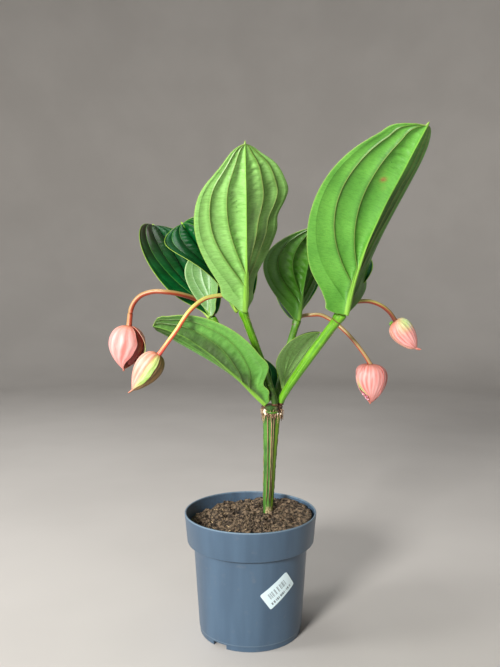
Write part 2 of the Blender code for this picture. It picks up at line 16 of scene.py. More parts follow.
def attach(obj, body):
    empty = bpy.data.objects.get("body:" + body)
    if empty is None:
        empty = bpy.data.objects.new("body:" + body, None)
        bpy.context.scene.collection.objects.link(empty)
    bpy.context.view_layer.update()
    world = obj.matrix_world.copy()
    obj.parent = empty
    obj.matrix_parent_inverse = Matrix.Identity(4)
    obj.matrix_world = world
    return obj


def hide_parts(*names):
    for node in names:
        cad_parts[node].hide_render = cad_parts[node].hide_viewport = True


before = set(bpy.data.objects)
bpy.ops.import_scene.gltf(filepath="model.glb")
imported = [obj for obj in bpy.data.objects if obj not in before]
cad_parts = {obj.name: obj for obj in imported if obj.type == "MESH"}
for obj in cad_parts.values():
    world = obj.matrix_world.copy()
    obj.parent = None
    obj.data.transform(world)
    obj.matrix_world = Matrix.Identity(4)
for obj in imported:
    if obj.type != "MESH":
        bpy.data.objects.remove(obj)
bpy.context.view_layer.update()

MM = 0.001
BODY = "root"

# ---------------------------------------------------------------- the plant's dimensions
POT = dict(height=136, rim_radius=75, collar_height=33, collar_foot_radius=72, body_top_radius=64.8,
           body_foot_radius=58.6, foot_radius=58, foot_height=7, wall=1.8, floor=6, floor_thick=2,
           foot_width=3, boss_radius=14, sides=160, sharp=32)
NOTCH = dict(count=3, first_bearing=215.5, width=17.5, height=5)
DRAIN = dict(count=6, circle_radius=38, radius=6, sides=32)
SOIL = dict(level=128.3, rise_to_right=6.8, hollow=4, hollow_reach=13, rings=96, sides=300, seed=11)
# What lies on the soil; sizes are the least and the most, and a chip has three.
CRUMBS = dict(count=1000, size=(0.7, 2.6), stem_room=1.5, edge_room=3)
CLODS = dict(count=90, size=(2.2, 4.2))
CHIPS = dict(count=70, sizes=((1.4, 3.8), (0.4, 0.9), (0.25, 0.5)), tilt=0.6)
LABEL = dict(width=37, height=21, turn=36, bearing=151.5, level=66.5, thick=0.35, corner=1.5, gap=0.3,
             lift=0.5, rows=30, columns=50, sharp=50)
STEM = dict(foot=(20.6, 20, 104), head=(24.7, 10, 256), foot_radius=5.4, neck_radius=9.4,
            head_radius=13.4, head_height=7, wings=4, wing_depth=0.16, rib_depth=0.06, waist=0.17,
            cork_height=0.8, groove_depth=1.25, roughness=0.12, sides=144)
# The head's section: shares of its radius and levels under its top.
HEAD = dict(sides=96, section=((0.66, -9.5), (0.80, -7.6), (0.90, -5.5), (0.94, -3.6), (0.97, -2.0),
                               (0.95, -0.8), (0.86, -0.1), (0.45, 0.0)))
# The green collar round the head's front.
COLLAR = dict(bearings=(150, 214), inset=0.6, drop=6.3, wave=1.2, radius=1.5, rows=26, sides=14)
# Corky ridges and grooves of the stem: the bearing right of its front, and the half width.
STEM_CORK = ((-32, 5), (4, 5), (21, 4), (97, 9), (150, 6), (-88, 6), (-130, 9))
STEM_GROOVES = ((-22, 3.5), (13, 3), (34, 7), (120, 8), (-110, 8), (165, 4))
# Pale dry scales on the stem's head: bearing, half sizes and level under the head's top; they stand at
# one reach from its middle.
HEAD_SCALES = ((224, (1.7, 1.2, 3.2), -6.2), (218, (1.2, 0.9, 2.0), -9.0), (150, (1.0, 0.8, 1.4), -8.5),
               (128, (0.9, 1.3, 1.1), -9.5), (60, (1.2, 1.2, 2.0), -7.0), (320, (1.0, 1.0, 2.2), -7.5))
SCALE_REACH = 12.3
# Dry threads round the head, and hairs on the branches: least and most of what is drawn at random.
TUFTS = dict(seed=21, count=150, out=(8.6, 12.2), level=(-9.0, -3.5), short=(3, 8), long=(7, 13),
             radius=(0.35, 0.85), curl=0.5)
HAIRS = dict(seed=5, length=(0.8, 2.2), radius=0.22, curl=0.02, sides=4, steps=3)
FORK = (24.7, 10, 256.3)
NODE_TOP = 4
BRANCH = dict(sides=40, knob=0.25, knob_reach=6, ribs=4, rib_depth=0.045, lump_depth=0.22, scar_reach=3,
              node_scar=5.5)
# Each branch: its foot next to the fork, its end node, its radius at both ends, how much painted shade
# darkens it near its foot and near its node, and how many hairs it has.
BRANCHES = {
    "left": dict(foot=(-9.5, 2), end=(-44.5, 25, 354), radius=(3.4, 3.3), dark=(0.5, 0.2), hairs=60),
    "middle": dict(foot=(3, -8.5), end=(-8.1, -29, 362), radius=(3.6, 4.0), dark=(0.95, 0.0), hairs=240),
    "rear": dict(foot=(4.5, 6.5), end=(55.4, 45, 350), radius=(3.6, 4.2), dark=(0.8, 0.4), hairs=80),
    "right": dict(foot=(9.5, -1.5), end=(97, -30, 358), radius=(4.0, 5.2), dark=(0.0, 0.0), hairs=60),
}

# A leaf's columns: its node and the way out to its foot, the bearing and rise of its midrib and how
# that bends, its roll and twist, its size, its halves' fold at the foot and how it opens to the tip,
# their cup, the halves' differences (skew at the foot, spread at the tip), and its outline.
LEAF_COLUMNS = ("node", "out", "bearing", "rise", "arch", "nod", "sweep", "roll", "twist", "length",
                "width", "fold", "open", "cup", "skew", "spread", "peak", "blunt")
LEAF_ROWS = {
    "left_front": ("left", (-1.8, -4.8, 2), 184, 103, 10, 0, -5, 19, 16,
                   89, 61, -25, -11, -16, -3, -3, 0.62, 0.68),
    "left_back": ("left", (-3.5, 3.5, 2.3), -39, 43, -3, 16, 5, 9, -13,
                  183, 96, 9, 5, -4, 0, 2, 0.56, 0.52),
    "middle_front": ("middle", (1.4, -6.9, 2.3), 174, 61, -4, -6, 11, -34, 5,
                     180, 107, 24, -24, 0, 4, -4, 0.61, 0.64),
    "middle_back": ("middle", (-5.2, 2.9, 2.3), -53, 53, 12, -4, 12, 14, 36,
                    140, 107, 53, -21, -2, 4, -3, 0.49, 0.62),
    "rear_front": ("rear", (1, -6.3, 2.3), 161, 75, 32, -7, 0, -13, -1,
                   125, 103, 20, 6, 3, 4, 1, 0.58, 0.77),
    "rear_back": ("rear", (0.6, 6.2, 2.3), 11, 46, -7, -7, 10, 15, 15,
                  162, 77, 14, 4, -5, -5, -3, 0.51, 0.7),
    "right_front": ("right", (4.3, -6.5, 2.3), 144, 74, 40, -20, 5, -1, 2,
                    213, 135, 33, -3, -3, 3, -1, 0.53, 0.54),
    "right_back": ("right", (2.2, 7, 2.3), 19, 40, -23, -12, 30, 14, 2,
                   122, 59, 0, 11, -15, -2, 0, 0.66, 0.79),
    "lower_left": ("fork", (-7, -6, 1.9), -118, 42, 1, 33, 19, -11, -19,
                   160, 101, 26, -14, -3, -2, 3, 0.53, 0.63),
    "lower_right": ("fork", (12.6, 6.2, 1.5), 112, 95, 49, 53, 3, 19, -1,
                    106, 57, 5, -14, -18, 0, 0, 0.59, 0.79),
    "lower_back_left": ("fork", (-2, 9, 2.2), -18, 56, 28, 15, -31, -2, 1,
                        92, 46, 15, -10, -9, -1, 0, 0.48, 0.76),
    "lower_back_right": ("fork", (7, 11, 1.5), 36, 52, 10, 6, -10, -6, 0,
                         85, 33, 25, 1, -6, 2, 1, 0.61, 0.83),
}
LEAVES = {name: dict(zip(LEAF_COLUMNS, row)) for name, row in LEAF_ROWS.items()}
# Dents in a leaf's margin: side (-1 left, +1 right), place along the blade, depth and reach.
# Those at place 0 narrow a blade's foot where it passes a branch or its neighbour; a depth
# under 0 is a lobe.
DENTS = {
    "left_front": ((-1, 0.08, -0.35, 0.05), (1, 0, 0.70, 0.12)),
    "left_back": ((-1, 0, 0.85, 0.12),),
    "middle_front": ((-1, 0.54, 0.16, 0.075), (-1, 0.70, -0.04, 0.05), (-1, 0.17, 0.26, 0.08),
                     (-1, 0.05, -0.40, 0.03), (1, 0.115, -0.30, 0.055), (1, 0.90, 0.20, 0.09),
                     (-1, 0.95, 0.20, 0.05)),
    "middle_back": ((-1, 0, 0.80, 0.20),),
    "rear_front": ((-1, 0, 0.80, 0.14),),
    "rear_back": ((1, 0, 0.80, 0.14),),
    "right_front": ((-1, 0, 0.6, 0.04), (1, 0.022, -0.3, 0.02), (1, 0.10, 0.12, 0.06),
                    (1, 0.95, -0.22, 0.04), (-1, 0.10, -0.50, 0.055)),
    "right_back": ((1, 0, 0.80, 0.25), (1, 0.76, 0.46, 0.16), (-1, 0.55, 0.45, 0.25)),
    "lower_left": ((-1, 0.04, 0.28, 0.04), (-1, 0.975, -0.45, 0.03), (1, 0.975, -0.3, 0.03),
                   (-1, 0.992, -0.7, 0.012), (-1, 0.15, 0.36, 0.06), (-1, 0.27, -0.10, 0.06),
                   (1, 0, 0.85, 0.12)),
    "lower_right": ((1, 0, 0.97, 0.34), (1, 0.42, -0.22, 0.12), (-1, 0, 0.60, 0.15)),
    "lower_back_left": ((-1, 0, 0.80, 0.25), (1, 0, 0.70, 0.20)),
    "lower_back_right": ((-1, 0, 0.70, 0.25), (1, 0, 0.80, 0.25)),
}
# A blade: the swell of its panels from the midrib out, its ripples and their grain across and along it,
# and the ribs under it: least width and height, and what the midrib's foot adds to them.
BLADE = dict(thick=0.75, tip=0.03, full_size=90, swell=(4.8, 3.0, 1.5, 0.2), full_panel=13, ripple=0.95,
             ripple_length=8.5, slant=0.55, patch_grain=(0.06, 0.045), fine_grain=(0.07, 0.24),
             broad=0.8, broad_grain=0.035, rib_width=(0.7, 3.3), rib_height=(0.5, 3.0), rib_foot=0.27,
             nerve_width=0.6, nerve_height=0.6, rows=120)
# The side nerves of a half: least room from the one before, greatest share of the width, and where
# and how fast each leaves the midrib.
NERVES = ((0.03, 0.44, 0.24, 0.20), (0.03, 0.76, 0.16, 0.17), (0.04, 0.93, 0.05, 0.12))
# Places across one panel between two nerves; they crowd together at the nerves.
PANEL = (0, 0.022, 0.05, 0.10, 0.19, 0.32, 0.5, 0.68, 0.81, 0.90, 0.95, 0.978)
# How each leaf differs from the rest. Colours: grey; pale or bright, which is painted light; a darker
# underside, the leaf's own tone together with painted shade; a dark brownish green one, painted shade;
# brown upper side. Relief: the swell of its panels, its ripple, and how plain (nerveless) its underside
# is. The tip's length. A band of painted shade along one side or both (0): side, middle, reach and depth;
# an end darkened by painted shade; a mark at a place along and across the blade.
TRAITS = {
    "left_front": dict(grey=0.8, ripple=0.3, plain=0.95, swell=0.35),
    "left_back": dict(brown=1.0, ripple=0.25),
    "middle_front": dict(pale=1.0, bright=0.2, shade=(-1, 0.5, 0.9, 1.0), tip=0.016),
    "middle_back": dict(ripple=0.55),
    "rear_front": dict(deep=0.8, plain=0.35, swell=1.3),
    "rear_back": dict(ripple=0.4),
    "right_front": dict(deep=0.12, ripple=0.8, swell=1.1, shade=(-1, 0.25, 0.9, 1.1), mark=(146, 12),
                        tip=0.016),
    "right_back": dict(ripple=0.6),
    "lower_left": dict(grey=0.15, deep=0.05, painted_olive_shade=0.5, plain=0.3, shade=(0, 0.08, 0.26, 2.0), end=0.6,
                       tip=0.004),
    "lower_right": dict(pale=0.5, bright=0.55, ripple=0.5, plain=0.6, tip=0.01),
    "lower_back_left": dict(deep=1, ripple=0.4),
    "lower_back_right": dict(deep=1, ripple=0.4),
}

# Each flower stalk: its route on from its node to the bud, how green or tan its upper side is, how
# dark a red its underside is, and how pink or brown it is at the bud. Lift lets the upper side's
# colour reach round it, and young does that near the node only.
STALKS = {
    "left": dict(radius=3.1, green_top=0.15, tan_top=0.7, dark=0.55, pink=0.1, young=0.5, route=(
        (-47, 27, 365), (-53, 30, 371), (-64, 29, 377), (-78, 16, 382), (-95, 8, 385), (-111, 9, 385.5),
        (-126.5, 11, 380), (-136, 12, 367), (-139, 12, 347))),
    "middle": dict(radius=2.6, green_top=1, tan_top=0, dark=0, pink=1, young=1.1, route=(
        (-10, -30, 372), (-17, -33, 378), (-28, -39, 381), (-40, -45, 380), (-51, -51, 376),
        (-64, -60, 364), (-76, -60, 346), (-87, -60, 331), (-95, -59, 320))),
    "rear": dict(radius=2.6, green_top=0.2, tan_top=1.0, dark=0.4, pink=0.1, lift=0.4, route=(
        (57, 47, 354), (63, 51, 357), (73, 51, 358), (84, 44, 358), (95, 35, 352.5), (108, 28, 342),
        (121, 25, 328), (133, 23, 312), (139, 22, 302))),
    "right": dict(radius=2.6, green_top=1, tan_top=0.3, dark=0.7, pink=0.0, brown=0.9, route=(
        (98, -28, 366), (103, -24, 370), (111, -17, 373), (120, -10, 374.5), (133, -5, 374.5),
        (146, -3, 370), (156, -1, 362.5), (163, 0, 353))),
}
STALK_SIDES = 24
# Each bud hangs from the end of its stalk: its length and width, where it is widest, how it narrows,
# its beak as a share of its length, the beak's bend and radius, how far it is shifted across its
# stalk, the direction of its tip, the florets in its opening (place along it and turn), and its
# bracts from inside out. A bract: the turn of its middle about the axis (0 right, 270 front), half
# its span, how far its layer stands out, its folds and their depth, a flare or belly of its margins,
# where its margins close, cover and part, how much of its end is cut or short, and the colours on it:
# its own colours, a painted highlight on its folds' crests, and darker tones that are partly painted shade.
BUDS = {
    "left": dict(length=53, width=41, widest=0.40, power=0.74, beak=0.04, hook=0, tip=(-0.13, 0, -1), bracts=(
        dict(middle=332, span=64, layer=-0.9, deep=1.0, light=0.1, cut=0.17),
        dict(middle=110, span=84, layer=-0.4, light=0.4),
        dict(middle=70, span=78, layer=1.1, flare=1.4, belly=2.6, cover=0.42, deep=0.08, cream=0.3,
             light=0.2, green=1.0, green_side=-1, green_at=0.48),
        dict(middle=229, span=86, layer=1.0, folds=5, depth=0.4, close=0.34, light=0.6, warm=1.0))),
    "middle": dict(length=51.2, width=30, widest=0.36, power=0.78, beak=0.08, hook=-2.2,
                   tip=(-0.585, -0.05, -0.81), bracts=(
        dict(middle=110, span=80, layer=-0.3, cream=0.7),
        dict(middle=345, span=84, layer=-0.2, folds=5, olive=1.0, light=0.3),
        dict(middle=222, span=76, layer=0.9, folds=5, cream=0.35, light=0.6, green=1.0, green_side=1,
             green_from=0.46, blush=0.8))),
    "rear": dict(length=47, width=37, widest=0.33, power=0.68, beak=0.02, hook=0, tip=(-0.03, 0, -1),
                 shift=1.7, opening=((0.74, 219), (0.80, 226), (0.69, 213), (0.75, 208), (0.84, 222),
                                     (0.87, 238), (0.79, 237)), bracts=(
        dict(middle=90, span=80, layer=-0.5, light=0.3),
        dict(middle=170, span=62, layer=-0.2, short=0.32, light=0.3, deep=0.2),
        dict(middle=8, span=58, layer=1.5, folds=5, light=0.4, deep=0.26),
        dict(middle=272, span=70, layer=0.9, folds=8, depth=0.32, close=0.42, parted=0.42, light=0.6,
             green=1.0, green_side=-1, green_at=0.60))),
    "right": dict(length=43, width=27.5, widest=0.34, power=0.56, beak=0.10, hook=4.2, beak_radius=2.6,
                  shift=-1.7, tip=(0.60, -0.1, -0.79), bracts=(
        dict(middle=120, span=80, layer=-0.4, light=0.3),
        dict(middle=205, span=62, layer=0.0, cream=0.4, light=0.3, green=0.5, green_side=1),
        dict(middle=20, span=66, layer=0.3, folds=3, light=0.5, cap=1.0, green_side=-1),
        dict(middle=290, span=72, layer=0.8, folds=7, depth=0.4, light=0.45, cap=1.0, green_side=1))),
}
# The core that shows where the bracts part, as a bract, painted dark as painted shade in the opening.
BUD_CORE = dict(middle=0, span=179.9, layer=-2.8, flare=0, deep=1.0, light=0.0, short=0.12)
BRACT = dict(rows=64, columns=42, beak_radius=1.6, inset=1.2, thick=0.65)
FLORETS = dict(seed=8, radius=(1.2, 1.8), proud=0.2)
BRACTLET = dict(length=5.2, half_width=2.0, thick=0.5, droop=0.8, curl=0.6, rows=14, columns=9)

LAMPS = {
    "key": dict(place=(-0.95, -1.75, 0.95), size=0.5, energy=60, color=(1.0, 0.985, 0.96)),
    "side": dict(place=(-1.85, -0.45, 1.15), size=0.7, energy=19, color=(1.0, 0.99, 0.97)),
    "top": dict(place=(-0.5, 0.5, 1.9), size=1.1, energy=12, color=(1.0, 1.0, 1.0)),
}
LAMP_AIM = (0, 0, 300)
WORLD = dict(color=(0.90, 0.93, 1.0), strength=0.10)
# The floor curves up into a round backdrop, in metres: its flat radius, the curve's and the wall's height.
STAGE = dict(flat=2.2, curve=1.1, wall=2.6, sides=96)
CAMERA = dict(place=(-0.6, -743, 379), pitch=3.13, focal_px=660, photo_height_px=667, sensor=36)


def linear(red, green, blue):
    """A colour given in screen values as the shader's linear values."""
    return tuple(c / 255 / 12.92 if c < 10 else ((c / 255 + 0.055) / 1.055) ** 2.4
                 for c in (red, green, blue))


# ---------------------------------------------------------------- materials
class Finish:
    """A Principled material, with short ways to add the nodes that drive it."""

    def __init__(self, name, roughness, **sockets):
        self.material = bpy.data.materials.new(name)
        self.material.use_nodes = True
        self.tree = self.material.node_tree
        self.shader = self.tree.nodes["Principled BSDF"]
        self.rough(roughness)
        for key, value in sockets.items():
            self.put(self.shader.inputs[key.replace("_", " ")], value)

    def put(self, socket, value):
        """Link another node's output to an input, or set the input to a number or a screen colour."""
        if isinstance(value, bpy.types.NodeSocket):
            self.tree.links.new(value, socket)
        elif socket.type == "RGBA":
            socket.default_value = (*linear(*value), 1)
        else:
            socket.default_value = value

    def add(self, kind, inputs, output, **settings):
        node = self.tree.nodes.new("ShaderNode" + kind)
        for name, value in settings.items():
            setattr(node, name, value)
        for key, value in inputs.items():
            self.put(node.inputs[key], value)
        return node.outputs[output]

    def attribute(self, name, output="Fac"):
        return self.add("Attribute", {}, output, attribute_name=name)

    def place(self):
        return self.add("TexCoord", {}, "Object")

    def stretched(self, x, y, z):
        return self.add("Mapping", {"Vector": self.place(), "Scale": (x, y, z)}, "Vector")

    def scaled_place(self, name, scale):
        """A piece's own vector attribute, scaled along each of its directions."""
        return self.add("VectorMath", {0: self.attribute(name, "Vector"), 1: scale}, 0, operation="MULTIPLY")

    def noise(self, scale, vector=None, detail=3):
        inputs = {"Vector": vector or self.place(), "Scale": scale, "Detail": detail}
        return self.add("TexNoise", inputs, "Fac")

    def math(self, operation, a, b=0.0):
        return self.add("Math", {0: a, 1: b}, 0, operation=operation)

    def band(self, value, low, high, to_low=0.0, to_high=1.0):
        inputs = {0: value, 1: low, 2: high, 3: to_low, 4: to_high}
        return self.add("MapRange", inputs, 0, interpolation_type="SMOOTHSTEP")

    def window(self, value, low, high, edge=0.02):
        """1 between low and high, falling off quickly outside."""
        rise = self.band(value, low - edge, low + edge)
        return self.math("MULTIPLY", rise, self.band(value, high - edge, high + edge, 1, 0))

    def mix(self, share, a, b, blend="MIX"):
        return self.add("Mix", {0: share, 6: a, 7: b}, 2, data_type="RGBA", blend_type=blend)

    def between(self, value, low, high, first, second):
        """From the first colour to the second as a value goes from low to high."""
        return self.mix(self.band(value, low, high), first, second)

    def over(self, base, name, color, *band):
        """A colour over the base where a piece's attribute is high, through a band if one is given."""
        share = self.attribute(name)
        return self.mix(self.band(share, *band) if band else share, base, color)

    def color(self, value):
        self.put(self.shader.inputs["Base Color"], value)

    def rough(self, value):
        self.put(self.shader.inputs["Roughness"], value)

    def bump(self, height, distance):
        """Relief of up to distance millimetres."""
        inputs = {"Height": height, "Distance": distance * MM}
        self.put(self.shader.inputs["Normal"], self.add("Bump", inputs, "Normal"))


# How the fine cross veins of a leaf run: scales across and along the blade.
CROSS_VEINS = (0.35, 1.6, 1.0)


def leaf_upper():
    """Dark glossy green with thin paler nerves, fine cross veins and a yellow-green rim."""
    finish = Finish("leaf upper", 0.3, Specular_IOR_Level=0.09, Coat_Weight=0.11, Coat_Roughness=0.12)
    green = finish.between(finish.noise(38), 0.35, 0.65, (3, 58, 18), (2, 80, 34))
    green = finish.over(green, "brown", (46, 36, 24))
    cross = finish.noise(0.5, finish.scaled_place("leaf_place", CROSS_VEINS))
    green = finish.mix(finish.band(cross, 0.40, 0.62, 0, 0.22), green, (30, 96, 42))
    green = finish.over(green, "nerve", (92, 158, 62), 0.45, 0.95, 0, 0.8)
    green = finish.over(green, "midrib", (132, 178, 78), 0.35, 0.9)
    finish.color(finish.over(green, "rim", (150, 196, 60), 0.3, 0.95, 0, 0.9))
    finish.rough(finish.band(cross, 0.3, 0.7, 0.30, 0.42))
    finish.bump(cross, 0.12)
    return finish.material


def leaf_under():
    """Pale satin green: a yellower midrib, thin tan side nerves and faint cross veins, with painted light on
    some blades and painted shade along the nerves, in dark bands and in darker tones.
    """
    finish = Finish("leaf underside", 0.42, Coat_Weight=0.12, Coat_Roughness=0.3)
    patches = finish.band(finish.noise(30), 0.3, 0.7)
    green = finish.mix(patches, (88, 160, 54), (106, 180, 66))
    # Paler blades: painted light. Darker: the leaf's own darker tone together with painted shade. Dark
    # brownish green: painted shade.
    for name, first, second in (("pale", (132, 200, 92), (146, 212, 108)),
                                ("deep", (52, 100, 16), (64, 116, 24)),
                                ("painted_olive_shade", (40, 62, 18), (60, 86, 30))):
        green = finish.over(green, name, finish.mix(patches, first, second))
    # Grey is the leaf's own tone and mark a scratch; bright is painted light.
    for name, color in (("grey", (120, 158, 104)), ("bright", (190, 236, 150)), ("mark", (158, 84, 58))):
        green = finish.over(green, name, color)
    dark = finish.mix(1.0, green, (186, 196, 150), "MULTIPLY")
    light = finish.mix(1.0, green, (236, 250, 220), "DODGE")
    cross = finish.noise(0.5, finish.scaled_place("leaf_place", CROSS_VEINS))
    green = finish.mix(finish.band(cross, 0.36, 0.58, 0.38, 0), green, dark)
    # Painted shade along each nerve.
    shadow = finish.mix(1.0, green, (166, 178, 128), "MULTIPLY")
    green = finish.over(green, "painted_nerve_shade", shadow, 0.1, 0.9, 0, 0.7)
    fine = finish.noise(0.9, finish.attribute("leaf_place", "Vector"))
    green = finish.mix(finish.band(fine, 0.50, 0.80, 0, 0.10), green, light)
    green = finish.over(green, "nerve", (132, 146, 74), 0.35, 0.95, 0, 0.8)
    green = finish.over(green, "midrib", (136, 192, 66), 0.2, 0.7)
    finish.color(finish.over(green, "rim", (146, 178, 84), 0.4, 0.95, 0, 0.6))
    finish.rough(finish.band(fine, 0.3, 0.7, 0.36, 0.50))
    finish.bump(cross, 0.2)
    return finish.material


def leaf_rim():
    """The blade's cut edge."""
    finish = Finish("leaf rim", 0.45)
    finish.color(finish.mix(finish.noise(160), (150, 186, 60), (176, 208, 96)))
    return finish.material


def branch_skin():
    """Fresh green young wood with lengthwise streaks, pale flecks and browner scarred ends; darker green
    where a piece's dark value is high, which on the branches is painted shade.
    """
    finish = Finish("branch skin", 0.42, Coat_Weight=0.1, Coat_Roughness=0.25)
    streaks = finish.noise(1, finish.attribute("skin_place", "Vector"), detail=4)
    green = finish.between(streaks, 0.35, 0.65, (80, 146, 18), (116, 182, 30))
    # Darker green where dark is high: on the branches this is painted shade towards their foot.
    green = finish.over(green, "dark", (34, 62, 8))
    flecks = finish.band(finish.noise(500, detail=2), 0.62, 0.70, 0, 0.5)
    green = finish.mix(flecks, green, (150, 176, 90))
    finish.color(finish.over(green, "scar", (96, 62, 40), 0.3, 0.8))
    finish.rough(finish.band(streaks, 0.3, 0.7, 0.36, 0.50))
    finish.bump(streaks, 0.35)
    return finish.material


def stem_bark():
    """Green faces between tan corky ridges, grooves painted near black as painted shade, and a pale woody
    foot.
    """
    finish = Finish("stem bark", 0.55)
    streaks = finish.noise(420, finish.stretched(1, 1, 0.07))
    green = finish.between(streaks, 0.35, 0.65, (54, 100, 34), (80, 134, 46))
    green = finish.over(green, "bright", (138, 184, 30))
    # Painted shade: the grooves are painted near black.
    green = finish.over(green, "groove", (20, 28, 12))
    cork = finish.between(streaks, 0.3, 0.7, (112, 76, 58), (182, 138, 112))
    skin = finish.over(green, "cork", cork, 0.35, 0.75)
    foot = finish.between(finish.noise(500), 0.4, 0.6, (120, 96, 66), (196, 178, 136))
    finish.color(finish.over(skin, "woody", foot, 0.3, 0.8))
    finish.bump(streaks, 0.5)
    return finish.material


def scar_cork():
    """The brown scars, cork and dry scales round the stem's head."""
    finish = Finish("scar cork", 0.75)
    grain = finish.noise(600, detail=5)
    brown = finish.between(grain, 0.35, 0.65, (70, 44, 32), (134, 96, 66))
    brown = finish.over(brown, "dark", (30, 22, 14))
    finish.color(finish.over(brown, "green", (48, 84, 22)))
    finish.bump(grain, 0.6)
    return finish.material


def stalk_skin():
    """A flower stalk: yellow-green or tan on its upper side, orange to red below, pink at the bud."""
    finish = Finish("stalk skin", 0.42, Coat_Weight=0.15, Coat_Roughness=0.3)
    fine = finish.noise(300, detail=4)
    upper = finish.over((206, 110, 66), "green_top", (202, 196, 104))
    upper = finish.over(upper, "tan_top", (168, 146, 96))
    under = finish.between(fine, 0.35, 0.65, (206, 84, 50), (220, 102, 62))
    under = finish.over(under, "dark", (112, 34, 24))
    skin = finish.over(under, "lit", upper, -0.25, 0.28)
    skin = finish.over(skin, "near_bud", (226, 86, 84))
    finish.color(finish.over(skin, "brown", (110, 52, 38)))
    finish.bump(fine, 0.15)
    return finish.material


def bract_skin():
    """Soft satin bracts: salmon with painted highlights on the folds' crests, orange towards the stalk, green
    or cream edges, and darker tones that are partly painted shade.
    """
    finish = Finish("bract skin", 0.5, Coat_Weight=0.10, Coat_Roughness=0.35,
                    Subsurface_Weight=0.06, Subsurface_Scale=0.003)
    veins = finish.noise(1.0, finish.scaled_place("bract_place", (6.5, 0.05, 1.0)), detail=4)
    streaks = finish.band(veins, 0.38, 0.62)
    skin = finish.mix(streaks, (222, 126, 118), (238, 162, 156))
    skin = finish.over(skin, "cream", finish.mix(streaks, (212, 162, 122), (230, 194, 156)))
    skin = finish.over(skin, "blush", (224, 140, 112))
    # Painted highlight on the folds' crests.
    skin = finish.over(skin, "fold_light", finish.over((247, 206, 202), "cream", (234, 212, 172)))
    skin = finish.over(skin, "green_edge", finish.mix(streaks, (158, 198, 88), (206, 226, 150)))
    skin = finish.over(skin, "cap", finish.mix(streaks, (196, 222, 140), (236, 246, 206)))
    skin = finish.over(skin, "warm_end", (222, 128, 84))
    # Brownish and dark red tones: partly the bract's own colour, partly painted shade.
    skin = finish.over(skin, "olive", finish.mix(streaks, (112, 88, 50), (150, 118, 76)))
    finish.color(finish.over(skin, "deep", (146, 54, 48)))
    finish.rough(finish.band(veins, 0.3, 0.7, 0.45, 0.6))
    finish.bump(veins, 0.25)
    return finish.material


def grained(name, roughness, scale, low, high, relief=0):
    """A plain skin of one grain between two colours."""
    finish = Finish(name, roughness)
    grain = finish.noise(scale)
    finish.color(finish.between(grain, 0.35, 0.65, low, high))
    if relief:
        finish.bump(grain, relief)
    return finish.material


def dry_tuft(name, low, high):
    """Dry corky threads."""
    return grained(name, 0.7, 700, low, high, 0.2)


def bark_fleck(name, low, high):
    """Chips of bark and dry fibre on the soil."""
    return grained(name, 0.85, 800, low, high, 0.4)


def soil_crust():
    """Dark damp potting soil with paler dry crumbs, and painted shade in the gaps between clods."""
    finish = Finish("soil crust", 0.95)
    clumps = finish.noise(210, detail=6)
    grains = finish.noise(900, detail=5)
    soil = finish.between(clumps, 0.42, 0.60, (48, 38, 29), (128, 108, 86))
    soil = finish.mix(finish.band(grains, 0.56, 0.72, 0, 0.8), soil, (168, 148, 118))
    # Painted shade in the gaps between clods.
    finish.color(finish.over(soil, "pit", (18, 13, 10), 0.15, 0.7, 0, 0.95))
    finish.bump(finish.math("ADD", clumps, grains), 1.2)
    return finish.material


def pot_plastic(name, soiling):
    """Blue-grey moulded plastic: faint upright streaks, dust, scuffs near the foot, painted highlights along
    the rim and the foot's step, and painted shadow under the collar.
    """
    finish = Finish(name, 0.36)
    height = finish.add("SeparateXYZ", {0: finish.place()}, 2)

    def hoop(rise_from, rise_to, most, fall_from, fall_to):
        """A level band round the pot, between heights in millimetres."""
        rise = finish.band(height, rise_from * MM, rise_to * MM, 0, most)
        return finish.math("MULTIPLY", rise, finish.band(height, fall_from * MM, fall_to * MM, 1, 0))

    top, step, under_collar = POT["height"], POT["foot_height"], POT["height"] - POT["collar_height"]
    streaks = finish.noise(60, finish.stretched(1, 1, 0.10), detail=4)
    skin = finish.between(streaks, 0.30, 0.70, (66, 87, 108), (74, 97, 119))
    dust = finish.band(finish.noise(130, detail=6), 0.58, 0.80, 0, 0.30)
    skin = finish.mix(dust, skin, (104, 110, 118))
    # Painted highlight along the rim's top edge.
    rim = finish.band(height, (top - 1.6) * MM, (top - 0.6) * MM, 0, 0.5)
    skin = finish.mix(rim, skin, (140, 164, 182))
    # The next line paints a faint highlight along the foot's step.
    skin = finish.mix(hoop(step - 1.5, step - 0.6, 0.16, step + 0.2, step + 1.0), skin, (150, 172, 186))
    # Painted shadow in the corner under the collar's overhang.
    painted_collar_shadow = hoop(under_collar - 4.2, under_collar - 1.6, 1, under_collar + 0.1, under_collar + 0.7)
    skin = finish.mix(painted_collar_shadow, skin, (20, 27, 36))
    scuffs = finish.band(finish.noise(170, finish.stretched(1, 1, 0.30), detail=8), 0.66, 0.74, 0, 0.7)
    low = finish.band(height, 4 * MM, 34 * MM, 1, 0)
    skin = finish.mix(finish.math("MULTIPLY", low, scuffs), skin, (150, 160, 168))
    soiled = finish.band(finish.noise(420), 0.5, 0.7, 0, soiling)
    finish.color(finish.mix(soiled, skin, (70, 56, 46)))
    finish.rough(finish.band(streaks, 0.3, 0.7, 0.30, 0.42))
    finish.bump(finish.noise(900, detail=2), 0.04)
    return finish.material


